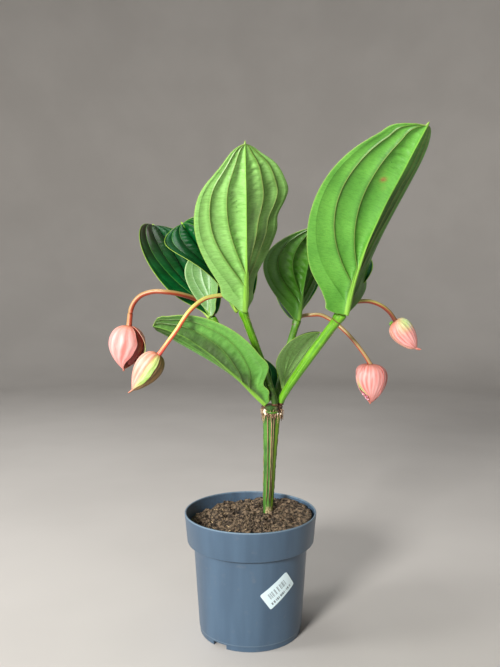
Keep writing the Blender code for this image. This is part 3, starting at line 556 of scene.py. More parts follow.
def sticker_paper():
    """White sticker with a plain generic row of bars and a row of short dashes."""
    finish = Finish("sticker paper", 0.4, Coat_Weight=0.2, Coat_Roughness=0.2)
    along, up = finish.attribute("sticker_u"), finish.attribute("sticker_v")

    def strokes(count, band, across, level):
        """Upright strokes of uneven widths within a stretch of the sticker."""
        stroke = finish.add("CombineXYZ", {0: finish.math("MULTIPLY", along, count)}, 0)
        inside = finish.math("MULTIPLY", finish.window(along, *across), finish.window(up, *level))
        return finish.math("MULTIPLY", finish.band(finish.noise(1, stroke, 0), *band), inside)

    bars = strokes(44, (0.50, 0.56), (0.18, 0.80), (0.44, 0.78))
    dashes = strokes(24, (0.47, 0.52), (0.10, 0.92), (0.13, 0.27))
    ink = finish.math("MULTIPLY", finish.math("MAXIMUM", bars, dashes), 0.85)
    finish.color(finish.mix(ink, (222, 242, 248), (48, 62, 72)))
    return finish.material


def floor_paint():
    """Matt pale paper."""
    finish = Finish("floor", 0.8, Specular_IOR_Level=0.2)
    finish.color(finish.between(finish.noise(3), 0.3, 0.7, (198, 194, 189), (204, 200, 195)))
    return finish.material


# ---------------------------------------------------------------- making pieces
def add_object(name, data):
    """A new object in the scene."""
    obj = bpy.data.objects.new(name, data)
    bpy.context.scene.collection.objects.link(obj)
    return obj


def piece(name, verts, faces, materials, slot, replaced=(), face_materials=None, values=None, sharp=None):
    """A mesh piece, in millimetres, that rides on the plant's body."""
    mesh = bpy.data.meshes.new(name)
    mesh.from_pydata(np.asarray(verts) * MM, [], [tuple(f) for f in faces])
    for material in materials:
        mesh.materials.append(material)
    if face_materials is not None:
        mesh.polygons.foreach_set("material_index", np.asarray(face_materials, dtype=np.int32))
    for key, data in (values or {}).items():
        kind, field_name = ("FLOAT_VECTOR", "vector") if np.ndim(data) == 2 else ("FLOAT", "value")
        attribute = mesh.attributes.new(key, kind, "POINT")
        attribute.data.foreach_set(field_name, np.asarray(data, dtype=np.float32).ravel())
    bm = bmesh.new()
    bm.from_mesh(mesh)
    bmesh.ops.recalc_face_normals(bm, faces=bm.faces)
    bm.to_mesh(mesh)
    bm.free()
    mesh.shade_smooth()
    if sharp:
        mesh.set_sharp_from_angle(angle=math.radians(sharp))
    obj = add_object(name, mesh)
    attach(obj, BODY)
    if replaced:
        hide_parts(*replaced)


def around(bearing):
    """Level unit vectors at bearings in radians."""
    bearing = np.asarray(bearing, dtype=float)
    return np.stack([np.sin(bearing), np.cos(bearing), 0 * bearing], axis=-1)


def full_turn(sides):
    """Angles round a ring, in radians, with no repeat at its end."""
    return np.linspace(0, 2 * np.pi, sides, endpoint=False)


def stacked(*layers):
    """Points or colours of a grid from one layer for each direction."""
    return np.stack(np.broadcast_arrays(*layers), axis=-1)


def bell(distance, reach, power=2):
    """1 at no distance, falling off to both sides within about a reach."""
    return np.exp(-np.abs(distance / reach) ** power)


def ramp(value, start, length):
    """0 up to a start, then straight up to 1 over a length."""
    return np.clip((value - start) / length, 0, 1)


def grid_faces(rows, columns, start=0, closed=False, flip=False):
    """Quads of a grid of points; a closed grid joins its last column to its first."""
    r = np.arange(rows - 1)[:, None]
    c = np.arange(columns if closed else columns - 1)[None, :]
    a = start + r * columns + c
    b = start + r * columns + (c + 1) % columns
    quads = np.stack([a, b, b + columns, a + columns], axis=-1).reshape(-1, 4)
    return (quads[:, ::-1] if flip else quads).tolist()


def border_pairs(rows, columns):
    """Neighbouring points round a grid's border, in order."""
    ring = ([(r * columns) for r in range(rows)]
            + [(rows - 1) * columns + c for c in range(1, columns)]
            + [r * columns + columns - 1 for r in range(rows - 2, -1, -1)]
            + [c for c in range(columns - 2, 0, -1)])
    return list(zip(ring, ring[1:] + ring[:1]))


def shell(outer, inner):
    """Vertices and faces of a closed shell between two sheets of points."""
    rows, columns = outer.shape[:2]
    count = rows * columns
    faces = grid_faces(rows, columns) + grid_faces(rows, columns, start=count, flip=True)
    faces += [(a, b, b + count, a + count) for a, b in border_pairs(rows, columns)]
    return np.concatenate([outer.reshape(-1, 3), inner.reshape(-1, 3)]), faces


def both_sides(layer):
    """One value for each point of a shell, the same on its two sheets."""
    return np.tile(layer.ravel(), 2)


def closed_tube(rings, ends=None):
    """Vertices and faces of a tube with both ends closed by a fan round an end point."""
    rows, sides = rings.shape[:2]
    first, last = rows * sides, rows * sides + 1
    top = (rows - 1) * sides
    faces = grid_faces(rows, sides, closed=True, flip=True)
    for c in range(sides):
        faces.append((first, c, (c + 1) % sides))
        faces.append((last, top + (c + 1) % sides, top + c))
    if ends is None:
        ends = rings[[0, -1]].mean(axis=1)
    return np.concatenate([rings.reshape(-1, 3), ends]), faces


def on_tube(layer, ends=(0, 0)):
    """One value for each point of a closed tube."""
    return np.append(layer.ravel(), ends)


def normals_of(points, outward):
    """Normals of a grid of points, on the side that the outward directions point to."""
    along = np.gradient(points, axis=0)
    across = np.gradient(points, axis=1)
    normal = np.cross(across, along)
    normal /= np.maximum(np.linalg.norm(normal, axis=2, keepdims=True), 1e-9)
    return normal * np.sign(np.sum(normal * outward, axis=2, keepdims=True) + 1e-9)


def sweep(route, radii, sides):
    """Rings of points round a route, which keep one upright direction, and the ways out to them."""
    route = np.asarray(route, dtype=float)
    ahead = np.gradient(route, axis=0)
    ahead /= np.linalg.norm(ahead, axis=1, keepdims=True)
    side = np.cross(ahead, (0.0, 0.0, 1.0))
    weak = np.linalg.norm(side, axis=1) < 0.15
    side[weak] = (1.0, 0.0, 0.0)
    for i in range(1, len(side)):
        if side[i] @ side[i - 1] < 0:
            side[i] = -side[i]
    side -= ahead * np.sum(side * ahead, axis=1, keepdims=True)
    side /= np.linalg.norm(side, axis=1, keepdims=True)
    up = np.cross(side, ahead)
    turn = full_turn(sides)[None, :, None]
    outward = side[:, None] * np.cos(turn) + up[:, None] * np.sin(turn)
    return route[:, None] + outward * radii.reshape(len(route), -1, 1), outward


def spline_points(points, count):
    """Points along a smooth curve through a route's own points."""
    pts = np.asarray(points, dtype=float)
    pts = np.vstack([2 * pts[0] - pts[1], pts, 2 * pts[-1] - pts[-2]])
    spans = len(pts) - 3
    s = np.linspace(0, spans, count)
    i = np.minimum(s.astype(int), spans - 1)
    f = (s - i)[:, None]
    p0, p1, p2, p3 = pts[i], pts[i + 1], pts[i + 2], pts[i + 3]
    return 0.5 * (2 * p1 + (p2 - p0) * f + (2 * p0 - 5 * p1 + 4 * p2 - p3) * f ** 2
                  + (3 * p1 - p0 - 3 * p2 + p3) * f ** 3)


def merged(parts):
    """One list of vertices and one of faces from several parts."""
    verts, faces, start = [], [], 0
    for part_verts, part_faces in parts:
        verts.append(part_verts)
        faces += [tuple(i + start for i in face) for face in part_faces]
        start += len(part_verts)
    return np.concatenate(verts), faces


def field(points, scale, seed):
    """Smooth noise from -1 to 1 at points in millimetres."""
    shift = Vector((seed * 13.7, seed * 5.3, seed * 9.1))
    flat = points.reshape(-1, 3)
    return np.array([noise.noise(Vector(p) * scale + shift) for p in flat]).reshape(points.shape[:-1])


def lump(centre, size, rng, level=1):
    """An irregular rounded lump: turned at random for one size, upright for three half sizes."""
    bm = bmesh.new()
    bmesh.ops.create_icosphere(bm, subdivisions=level, radius=1)
    verts = np.array([v.co for v in bm.verts])
    faces = [tuple(v.index for v in f.verts) for f in bm.faces]
    bm.free()
    verts *= 1 + 0.28 * field(verts, 1.3, rng.uniform(0, 50))[:, None]
    turn = np.array(Matrix.Rotation(rng.uniform(0, 6.28), 3, Vector(rng.normal(0, 1, 3))))
    if np.ndim(size) == 0:
        verts = (verts * np.asarray((1, rng.uniform(0.6, 1), rng.uniform(0.5, 0.9)))) @ turn.T * size
    else:
        verts = verts * np.asarray(size)
    return verts + centre, faces


def thread(start, aim, length, radius, curl, rng, sides=6, steps=9):
    """A thin tapering thread from start that bends towards the ground."""
    points = [start]
    for _ in range(steps):
        aim = aim + (0, 0, -curl) + rng.normal(0, 0.10, 3)
        aim /= np.linalg.norm(aim)
        points.append(points[-1] + aim * length / steps)
    radii = radius * np.linspace(1, 0.35, steps + 1) * rng.uniform(0.75, 1.2, steps + 1)
    return closed_tube(sweep(points, radii, sides)[0])


# ---------------------------------------------------------------- leaves
def half_width(t, leaf, tip):
    """Half width of a blade as a share of its greatest: rounded foot, oval body, short tip."""
    warp = math.log(0.5) / math.log(leaf["peak"])
    along = np.minimum(1, t / (1 - tip))
    body = np.maximum(0, np.sin(np.pi * along ** warp)) ** leaf["blunt"]
    foot_lobe = 0.06 * np.exp(-t / 0.08) * (1 - np.exp(-t / 0.012))
    point = 0.02 * np.minimum(1, (1 - t) / tip)
    return np.maximum(body + foot_lobe + 0.04 * (1 - t), point)


def nerve_shares(t):
    """Where the midrib, the three side nerves of a half and its margin run, as shares of its width."""
    shares = [np.zeros_like(t)]
    for room, reach, start, length in NERVES:
        away = reach * (1 - np.exp(-np.maximum(t - start, 0) / length))
        shares.append(np.maximum(shares[-1] + room, away))
    shares[-1] = np.minimum(shares[-1], 0.96)
    return np.stack([*shares, np.ones_like(t)])


def midrib_frames(leaf, base, rows):
    """The midrib's points, the blade's sideways directions and its upper normals at each row."""
    steps = 600
    t = np.linspace(0, 1, steps + 1)
    turn = np.radians(leaf["bearing"] + leaf["sweep"] * t)
    rise = np.radians(leaf["rise"] - leaf["arch"] * t - leaf["nod"] * t ** 4)
    ahead = stacked(np.sin(turn) * np.cos(rise), np.cos(turn) * np.cos(rise), np.sin(rise))
    middle = np.zeros((steps + 1, 3))
    middle[1:] = np.cumsum((ahead[1:] + ahead[:-1]) / 2, axis=0) * leaf["length"] / steps
    level = around(turn + np.pi / 2)
    above = np.cross(level, ahead)
    lean = np.radians(leaf["roll"] + leaf["twist"] * t)[:, None]
    side = level * np.cos(lean) + above * np.sin(lean)
    normal = above * np.cos(lean) - level * np.sin(lean)
    at = (rows * steps).astype(int).clip(0, steps)
    return base + middle[at], side[at], normal[at]


def keep_share(name, side, t):
    """The share of its width that a dented half keeps."""
    keep = np.ones_like(t)
    for dented_side, place, depth, reach in DENTS[name]:
        if dented_side == side:
            keep *= 1 - depth * bell(t - place, reach)
    return keep


def leaf_half(name, leaf, side, t):
    """One half of the middle sheet: out and up from the midrib, and what the relief needs."""
    tip = TRAITS[name].get("tip", BLADE["tip"])
    width = (half_width(t, leaf, tip) * leaf["width"] / 2 * keep_share(name, side, t))[:, None]
    clasp = 1 - 0.7 * np.exp(-t / 0.08)
    at_rib = np.radians((leaf["fold"] - side * leaf["skew"]) * clasp
                        + (leaf["open"] - side * leaf["spread"]) * t)[:, None]
    cup = math.radians(leaf["cup"]) or 1e-4
    nerves = nerve_shares(t)
    shares, swell = [], []
    for low, high, most in zip(nerves, nerves[1:], BLADE["swell"]):
        room = np.minimum(1, (high - low) * width[:, 0] / BLADE["full_panel"])
        for f in PANEL:
            shares.append(low + (high - low) * f)
            swell.append(np.sin(np.pi * f) ** 0.8 * room * most)
    s = np.stack([*shares, np.ones_like(t)], axis=1)
    swell = np.stack([*swell, np.zeros_like(t)], axis=1)
    angle = at_rib + cup * s
    out = width * (np.sin(angle) - np.sin(at_rib)) / cup
    up = width * (np.cos(at_rib) - np.cos(angle)) / cup
    to_nerve = np.abs(s[:, :, None] - nerves[1:-2].T[:, None, :]).min(axis=2) * width
    return out, up, s, swell, to_nerve, width + 0 * s


def leaf_sheet(name, leaf):
    """A blade's middle sheet, and where each of its points lies between midrib, nerves and margin."""
    node = np.array(FORK if leaf["node"] == "fork" else BRANCHES[leaf["node"]]["end"], dtype=float)
    t = np.linspace(0, 1, BLADE["rows"])
    t = t - 0.10 * np.sin(2 * np.pi * t) / (2 * np.pi)
    middle, side, normal = midrib_frames(leaf, node + np.array(leaf["out"]), t)
    halves = zip((-1, 1, -1, 1, 1, 1), leaf_half(name, leaf, -1, t), leaf_half(name, leaf, 1, t))
    out, up, s, swell, to_nerve, width = [np.concatenate([sign * left[:, :0:-1], right], axis=1)
                                          for sign, left, right in halves]
    points = middle[:, None] + side[:, None] * out[..., None] + normal[:, None] * up[..., None]
    across, along = s * width, t[:, None] * leaf["length"] + 0 * s
    return SimpleNamespace(points=points, facing=normals_of(points, normal[:, None]), t=t[:, None], s=s,
                           across=across, along=along, swell=swell, to_rib=np.abs(across),
                           to_nerve=to_nerve, to_margin=(1 - np.abs(s)) * width)


def leaf_noise(at, seed, grain, noise_seed):
    """Smooth noise that is drawn out along the side veins."""
    grain_across, grain_along = grain
    climb = at.along - BLADE["slant"] * at.to_rib
    return field(stacked(at.across * grain_across, climb * grain_along, seed), 1, noise_seed)


def leaf_relief(at, traits, size, seed, patches):
    """How far the upper side swells and ripples out of the middle sheet."""
    climb = at.along - BLADE["slant"] * at.to_rib
    waves = np.sin(climb * 2 * np.pi / BLADE["ripple_length"] + 7 * patches)
    fine = leaf_noise(at, seed, BLADE["fine_grain"], 6)
    waves = np.clip(0.55 + 1.5 * patches, 0.1, 1.3) * waves + 0.9 * fine
    panels = traits.get("swell", 1) * at.swell * (1 - 0.5 * at.t ** 6) * np.clip(at.along / 25, 0.1, 1)
    ripples = BLADE["ripple"] * traits.get("ripple", 1) * waves * at.swell / BLADE["swell"][0]
    broad = BLADE["broad"] * field(at.points, BLADE["broad_grain"], seed)
    return size * (panels + ripples + broad * ramp(at.to_margin, 0, 6) * ramp(at.along, 0, 14))


def leaf_colors(at, traits, patches, nerve, rib, rib_width):
    """What drives the colours of a blade's two sides: upper side, then underside."""
    t, s, plain = at.t, at.s, traits.get("plain", 0)
    line = bell(at.to_rib, 0.5 + 0.6 * np.exp(-t / 0.2))
    dim = (0.55 - 0.35 * plain + 0.45 * np.exp(-t / 0.14)) * (1 - 0.5 * traits.get("deep", 0))
    mark_along, mark_across = traits.get("mark", (-99, -99))
    past = at.along - mark_along
    mark = bell(past, 5.5) * bell(at.across - mark_across - 0.45 * past, 1.3)
    # Painted shade: a band across one half or both, and an end painted darker.
    side, middle, reach, most = traits.get("shade", (0, 0, 1, 0))
    shade = most * bell(np.abs(s) - middle, reach) * (s * side >= 0) * (1 - ramp(t, 0.6, 0.3))
    shade = shade * np.clip(0.9 + 1.1 * patches, 0.3, 1) + traits.get("end", 0) * ramp(t, 0.72, 0.2)
    upper = {"nerve": np.maximum(bell(at.to_nerve, 0.5), line) * (1 - plain), "midrib": line,
             "mark": 0 * mark}
    under = {"nerve": nerve * (1 - 0.4 * rib) * (1 - plain),
             "midrib": bell(at.to_rib, 0.95 * rib_width, 4) * dim, "mark": mark}
    # Painted shade along the nerves and in the darker tones; pale and bright are painted light.
    same = {"painted_nerve_shade": bell(at.to_nerve, 2.6) * (1 - 0.8 * plain), "rim": bell(at.to_margin, 1.1),
            "painted_olive_shade": np.clip(traits.get("painted_olive_shade", 0) * shade, 0, 1),
            "deep": np.clip(traits.get("deep", 0) + shade, 0, 1),
            "brown": traits.get("brown", 0) * np.clip(0.1 - 1.3 * s, 0, 1) * np.clip(2.2 * t - 0.8, 0, 1)}
    same |= {key: traits.get(key, 0) + 0 * s for key in ("grey", "pale", "bright")}
    return ({key: np.append(upper[key], under[key]) for key in upper}
            | {key: both_sides(layer) for key, layer in same.items()})


def build_leaf(name, leaf, materials):
    """A blade with swollen panels between sunken nerves, and raised ribs on its underside."""
    at, traits, seed = leaf_sheet(name, leaf), TRAITS[name], sum(ord(c) for c in name) % 50
    size = min(1, leaf["width"] / BLADE["full_size"])
    patches = leaf_noise(at, seed, BLADE["patch_grain"], 3)
    top = at.points + at.facing * leaf_relief(at, traits, size, seed, patches)[..., None]
    foot = bell(at.t, BLADE["rib_foot"])
    rib_width = BLADE["rib_width"][0] + BLADE["rib_width"][1] * size * foot
    rib_height = BLADE["rib_height"][0] + BLADE["rib_height"][1] * foot
    rib = bell(at.to_rib, rib_width)
    nerve = bell(at.to_nerve, BLADE["nerve_width"]) * ramp(at.along, 0, 20)
    depth = (BLADE["thick"] * (0.45 + 0.55 * ramp(at.to_margin, 0, 1.2)) + rib_height * rib * size
             + BLADE["nerve_height"] * size * nerve * (1 - 0.8 * traits.get("plain", 0)))
    verts, faces = shell(top, top - at.facing * depth[..., None])
    sheet_faces = (at.s.shape[0] - 1) * (at.s.shape[1] - 1)
    kinds = [0] * sheet_faces + [1] * sheet_faces + [2] * (len(faces) - 2 * sheet_faces)
    values = leaf_colors(at, traits, patches, nerve, rib, rib_width)
    values["leaf_place"] = np.tile(stacked(at.across, at.along, seed * 7.0).reshape(-1, 3), (2, 1))
    piece(f"blade_{name}", verts, faces, materials, "leaf_green", [f"leaf_{name}"], kinds, values)


# ---------------------------------------------------------------- stem and branches
def branch_route(spec, count=70):
    """Up off the stem's head, out along a gently bowed line, and up again through the end node."""
    foot = np.array(FORK, dtype=float) + np.array((*spec["foot"], 0))
    end = np.array(spec["end"], dtype=float)
    low, high = foot + (0, 0, 2), end + (0, 0, NODE_TOP - 2.5)
    pull_low, pull_high = low + (0, 0, 9), high + 0.30 * (low - high) + (0, 0, 2)
    f = np.linspace(0, 1, count)[:, None]
    g = 1 - f
    bow = low * g ** 3 + pull_low * (3 * g * g * f) + pull_high * (3 * g * f * f) + high * f ** 3
    return np.vstack([foot, bow, end + (0, 0, NODE_TOP - 0.8), end + (0, 0, NODE_TOP)])


def build_branch(name, spec, material):
    """A green branch with shallow lengthwise ribs, a thicker node, scars at both ends and painted shade,
    mostly near its foot.
    """
    route = branch_route(spec)
    start, end = spec["radius"]
    along = np.linalg.norm(route - route[0], axis=1)[:, None]
    to_node = np.linalg.norm(route - spec["end"], axis=1)[:, None]
    share = np.minimum(1, along / along[-1] * 2)
    radii = (start + share * (end - start)) * (1 + BRANCH["knob"] * bell(to_node, BRANCH["knob_reach"]))
    radii[-1] *= 0.8
    turn = full_turn(BRANCH["sides"])
    ribs = 1 + BRANCH["rib_depth"] * np.cos(BRANCH["ribs"] * turn + spec["end"][0])
    rings, outward = sweep(route, radii * ribs, BRANCH["sides"])
    lumps = field(rings, 0.16, 5)
    verts, faces = closed_tube(rings + outward * (BRANCH["lump_depth"] * lumps)[..., None])
    node_scar = bell(to_node - BRANCH["node_scar"] - 0.8 * lumps, 0.8) * (lumps > -0.25)
    # Painted shade: the branch is painted darker towards its foot, where the leaves shade it.
    low, high = spec["dark"]
    shade = high + (low - high) * np.clip(1.5 - along / 45, 0, 1)
    place = stacked(np.cos(turn) * 2.2, np.sin(turn) * 2.2, along * 0.035).reshape(-1, 3)
    values = {"scar": on_tube(np.maximum(bell(along, BRANCH["scar_reach"]), 0.9 * node_scar)),
              "dark": on_tube(np.clip(shade + 0.25 * lumps, 0, 1)),
              "skin_place": np.vstack([place, np.zeros((2, 3))])}
    piece(f"limb_{name}", verts, faces, [material], "branch_green", [f"branch_{name}"], values=values)


def stem_route(count=80):
    """The stem's middle line, from its foot in the soil to its neck under the head."""
    foot, head = np.array(STEM["foot"], dtype=float), np.array(STEM["head"], dtype=float)
    straight = foot + (0, 0, SOIL["level"] + 6 - foot[2])
    f = np.linspace(0, 1, count)[:, None]
    return np.vstack([foot, foot + (straight - foot) * 0.5, straight + (head - (0, 0, 2) - straight) * f])


def build_stem(bark):
    """A round woody foot under four blunt wings, with corky ridges and grooves between them."""
    route = stem_route()
    level = route[:, 2:]
    neck, straight = STEM["head"][2] - STEM["head_height"], SOIL["level"] + 4
    share = ramp(level, straight, neck - straight)
    radius = STEM["foot_radius"] + share * (STEM["neck_radius"] - STEM["foot_radius"])
    radius = radius * (1 - STEM["waist"] * np.sin(np.pi * share))
    turn = full_turn(STEM["sides"])
    wings = STEM["wing_depth"] * np.sin(np.pi * np.clip(share, 0.001, 0.999)) ** 0.5
    wave = wings * np.cos(STEM["wings"] * turn + 0.6) + STEM["rib_depth"] * share * np.cos(3 * turn)
    front = 180 - np.degrees(turn)
    wander = 4 * np.sin(share * 5)
    cork, groove = [sum(bell(front - (at + wander), wide) for at, wide in upright)
                    for upright in (STEM_CORK, STEM_GROOVES)]
    above = ramp(share, 0.02, 0.1)
    rough = field(stacked(turn * 5, level * 0.30, 0.0), 1, 2)
    lines = STEM["cork_height"] * cork * (0.75 + 0.5 * rough) - STEM["groove_depth"] * groove
    reach = radius * (1 + wave) + above * lines + STEM["roughness"] * rough
    rings = route[:, None] + around(turn) * reach[..., None]
    verts, faces = closed_tube(rings, route[[0, -1]])
    woody = np.clip(1 - (level - straight + 7) / 20 + 0.35 * rough, 0, 1) * (front > -38)
    # The grooves' value also sets the painted shade in them.
    values = {"cork": on_tube(cork * above), "groove": on_tube(np.clip(0.95 * groove * above, 0, 1)),
              "bright": on_tube(bell(front - 60, 20) + 0 * share), "woody": on_tube(woody)}
    piece("stem_shaft", verts, faces, [bark], "stem_bark", ["main_stem"], values=values)


def build_head(scar, green):
    """The lumpy scarred head that the branches stand on, with a green collar at its front."""
    head = np.array(STEM["head"], dtype=float)
    turn = full_turn(HEAD["sides"])
    shares, levels = np.array(HEAD["section"]).T
    out = around(turn)
    rings = head + out * (STEM["head_radius"] * shares)[:, None, None]
    rings[..., 2] += levels[:, None]
    lumps, fine = field(rings, 0.23, 9), field(rings, 0.7, 4)
    rings = rings + out * (1.9 * lumps + 0.9 * fine - 0.9)[..., None]
    rings[1:6, :, 2] += 1.4 * lumps[1:6]
    verts, faces = closed_tube(rings)
    front = 180 - np.degrees(turn)
    values = {"dark": on_tube(np.clip(0.35 + 0.9 * lumps + 0.8 * fine, 0, 1), (0.5, 0.5)),
              "green": on_tube(bell(front + 8, 30, 4) + 0 * lumps)}
    piece("stem_head", verts, faces, [scar], "stem_bark", values=values)
    bow = np.radians(np.linspace(*COLLAR["bearings"], COLLAR["rows"]))
    route = head + around(bow) * (STEM["head_radius"] - COLLAR["inset"])
    route[:, 2] -= COLLAR["drop"] + COLLAR["wave"] * np.cos((bow - math.pi) * 3)
    thick = COLLAR["radius"] * np.sin(np.linspace(0.12, 3.02, COLLAR["rows"])) ** 0.6
    verts, faces = closed_tube(sweep(route, thick, COLLAR["sides"])[0])
    piece("stem_collar", verts, faces, [green], "stem_bark", values=plain_skin(verts, 0.7))


def plain_skin(verts, dark):
    """What the branch's material needs on a small green part."""
    return {"dark": np.full(len(verts), dark), "scar": np.zeros(len(verts)), "skin_place": verts * 0.3}


def build_tufts(tan, brown, pale):
    """Dry threads that hang round the head, and a few pale scales among them."""
    rng = np.random.default_rng(TUFTS["seed"])
    head = np.array(STEM["head"], dtype=float)
    threads, darks, scales = [], [], []
    for k in range(TUFTS["count"]):
        out = around(math.radians(k * 360 / TUFTS["count"] + rng.uniform(-4, 4)))
        start = head + out * rng.uniform(*TUFTS["out"]) + (0, 0, rng.uniform(*TUFTS["level"]))
        length = rng.uniform(*TUFTS["short" if k % 4 else "long"])
        aim = out * 0.4 + (0, 0, -0.5) + rng.normal(0, 0.25, 3)
        hair = thread(start, aim, length, rng.uniform(*TUFTS["radius"]), TUFTS["curl"], rng)
        (threads if k % 5 < 3 else darks).append(hair)
    for bearing, size, level in HEAD_SCALES:
        place = head + around(math.radians(bearing)) * SCALE_REACH + (0, 0, level)
        scales.append(lump(place, size, rng, 2))
    for name, parts, material in (("stem_threads", threads, tan), ("stem_fibres", darks, brown),
                                  ("stem_scales", scales, pale)):
        piece(name, *merged(parts), [material], "stem_bark")


def build_bristles(material):
    """Short stiff hairs on the branches, thickest below the nodes."""
    rng = np.random.default_rng(HAIRS["seed"])
    hairs = []
    for spec in BRANCHES.values():
        route = branch_route(spec)[4:-3]
        low, high = spec["radius"]
        for _ in range(spec["hairs"]):
            share = 1 - rng.uniform(0, 1) ** 1.6 * 0.55
            i = int(share * (len(route) - 2))
            ahead = route[i + 1] - route[i]
            ahead /= np.linalg.norm(ahead)
            out = rng.normal(0, 1, 3)
            out -= ahead * (out @ ahead)
            out /= np.linalg.norm(out)
            start = route[i] + out * (low * 0.95 + (high - low) * share)
            length = rng.uniform(*HAIRS["length"])
            hairs.append(thread(start, out + ahead * 0.4, length, HAIRS["radius"], HAIRS["curl"], rng,
                                HAIRS["sides"], HAIRS["steps"]))
    piece("branch_bristles", *merged(hairs), [material], "branch_green")


# ---------------------------------------------------------------- flower stalks and buds
def stalk_points(name, count=110):
    """Up off the node's top, then along the stalk's own route."""
    start = np.array(BRANCHES[name]["end"], dtype=float) + (0, 0, NODE_TOP + 0.3)
    return np.vstack([start, spline_points([start + (0, 0, 2), *STALKS[name]["route"]], count)])


def build_stalk(name, spec, material):
    """A smooth slightly flattened stalk that swells where it enters its bud."""
    route = stalk_points(name)
    arrive = route[-1] - route[-2]
    route = np.vstack([route, route[-1] + 2.2 * arrive / np.linalg.norm(arrive)])
    steps = np.linalg.norm(np.diff(route, axis=0), axis=1)
    length = np.concatenate([[0], np.cumsum(steps)])[:, None]
    left = length[-1] - length
    radii = spec["radius"] * (0.94 + 0.14 * np.exp(-length / 8) + 0.22 * np.exp(-left / 4))
    rings, outward = sweep(route, radii * (1 + 0.04 * np.cos(2 * full_turn(STALK_SIDES))), STALK_SIDES)
    verts, faces = closed_tube(rings)
    away = math.copysign(0.45, route[-1, 0] - route[0, 0])
    lit = outward[..., 2] * 0.85 + outward[..., 0] * away + spec.get("lift", 0)
    lit = lit + spec.get("young", 0) * bell(length, 52)
    near_bud = spec["pink"] * np.exp(-left / 16)
    brown = spec.get("brown", 0) * bell(left, 26)
    values = {"lit": on_tube(lit), "near_bud": on_tube(near_bud + 0 * lit), "brown": on_tube(brown + 0 * lit)}
    values |= {key: np.full(len(verts), float(spec[key])) for key in ("green_top", "tan_top", "dark")}
    piece(f"stem_of_{name}_bud", verts, faces, [material], "stalk_red", [f"stalk_{name}"], values=values)


def bud_frame(name, spec):
    """The bud's top, its axis towards the tip, and the two directions across it."""
    axis = np.array(spec["tip"], dtype=float)
    axis /= np.linalg.norm(axis)
    across = np.cross(axis, (0, 1, 0))
    across /= np.linalg.norm(across)
    return np.array(STALKS[name]["route"][-1], dtype=float), axis, across, np.cross(across, axis)


def bud_body(t, spec):
    """The bud's radius along its axis as a share of its greatest: a full drop before its beak."""
    warp = math.log(0.5) / math.log(spec["widest"])
    body = np.minimum(1, t / (1 - spec["beak"]))
    return np.maximum(0, np.sin(np.pi * body ** warp)) ** np.where(body < spec["widest"], 0.6, spec["power"])


def bud_line(t, name, spec):
    """Points along the bud's axis, bent sideways in its beak."""
    top, axis, across, _ = bud_frame(name, spec)
    bend = spec["hook"] * ramp(t, 0.80, 0.20) ** 2 + spec.get("shift", 0) * (1 - np.exp(-t / 0.08))
    return top + axis * (t * spec["length"])[..., None] + across * bend[..., None]


def build_bract(name, spec, bract):
    """One shell of the bud between two margins that meet at its tip. Returns verts, faces, values."""
    _, _, across, front = bud_frame(name, spec)
    middle, layer = bract["middle"], bract["layer"]
    t = np.linspace(0, 1, BRACT["rows"])
    t = (t + 0.03 * np.sin(2 * np.pi * t))[:, None]
    v = np.linspace(-1, 1, BRACT["columns"])
    v = np.sign(v) * (1 - (1 - np.abs(v)) ** 1.25)
    close = bract.get("close", 0.58)
    reach = 1 - 0.10 * (1 - ramp(t, 0, 0.25)) - 0.62 * ramp(t, close, 1 - close) ** 1.6
    reach = reach + bract.get("cover", 0) * bell(t, 0.3)
    wobble = 0.03 * np.sin(8 * t + middle) + 0.012 * np.sin(23 * t + 2 * middle)
    parted = bract.get("parted", 0) * bell(t - 0.84, 0.15) * (v < 0)
    turn = np.radians(middle + bract["span"] * (v * (reach - parted) + wobble * np.abs(v)))
    share = t * (1 - bract.get("cut", 0))
    body = bud_body(share, spec)
    folds = np.cos(bract.get("folds", 4) * np.pi * v + 0.7 * np.sin(3 * t) + 0.4 * np.sin(7 * t + middle))
    radius = ((spec["width"] / 2 - BRACT["inset"]) * body + layer * np.minimum(1, body * 1.5)
              + bract.get("depth", 0.55) * folds * body * np.minimum(1, (1 - np.abs(v)) * 4)
              + bract.get("flare", 0.6) * np.abs(v) ** 8 * body
              + bract.get("belly", 0) * bell(t - 0.56, 0.24) * v ** 2)
    radius = np.maximum(radius, spec.get("beak_radius", BRACT["beak_radius"]) * (1.5 - t) + 0.25 * layer)
    outward = across * np.cos(turn)[..., None] + front * np.sin(turn)[..., None]
    sheet = bud_line(share * (1 - bract.get("short", 0)) + 0 * v, name, spec) + outward * radius[..., None]
    thick = np.minimum(BRACT["thick"], 0.3 + 0.6 * body)
    verts, faces = shell(sheet, sheet - normals_of(sheet, outward) * thick[..., None])
    rib = np.clip(0.5 + 0.5 * folds, 0, 1) ** 2 * body
    green_v = v * bract.get("green_side", 1)
    edge = ramp(green_v, bract.get("green_from", 0.72), 0.24) * np.clip(1.4 * body, 0, 1)
    if "green_at" in bract:
        edge = edge * bell(t - bract["green_at"], 0.17)
    cap = bell(t - 0.16, 0.22, 3) * np.clip(0.75 + green_v, 0, 1)
    warm = bract.get("warm", 0.6) * np.exp(-t / 0.07) + 0.6 * np.exp(-(1 - t) / 0.06)
    # The fold ridges get a painted highlight, as strong as the bract's light.
    layers = {"fold_light": bract.get("light", 0.5) * rib, "green_edge": bract.get("green", 0) * edge,
              "cap": bract.get("cap", 0) * cap, "warm_end": warm,
              "blush": bract.get("blush", 0) * bell(t - 0.12, 0.22)}
    # These darker tones are partly painted shade.
    layers |= {key: bract.get(key, 0) for key in ("cream", "olive", "deep")}
    values = {key: both_sides(np.clip(value + 0 * rib, 0, 1)) for key, value in layers.items()}
    values["bract_place"] = np.tile(stacked(v, t * spec["length"], middle).reshape(-1, 3), (2, 1))
    return verts, faces, values


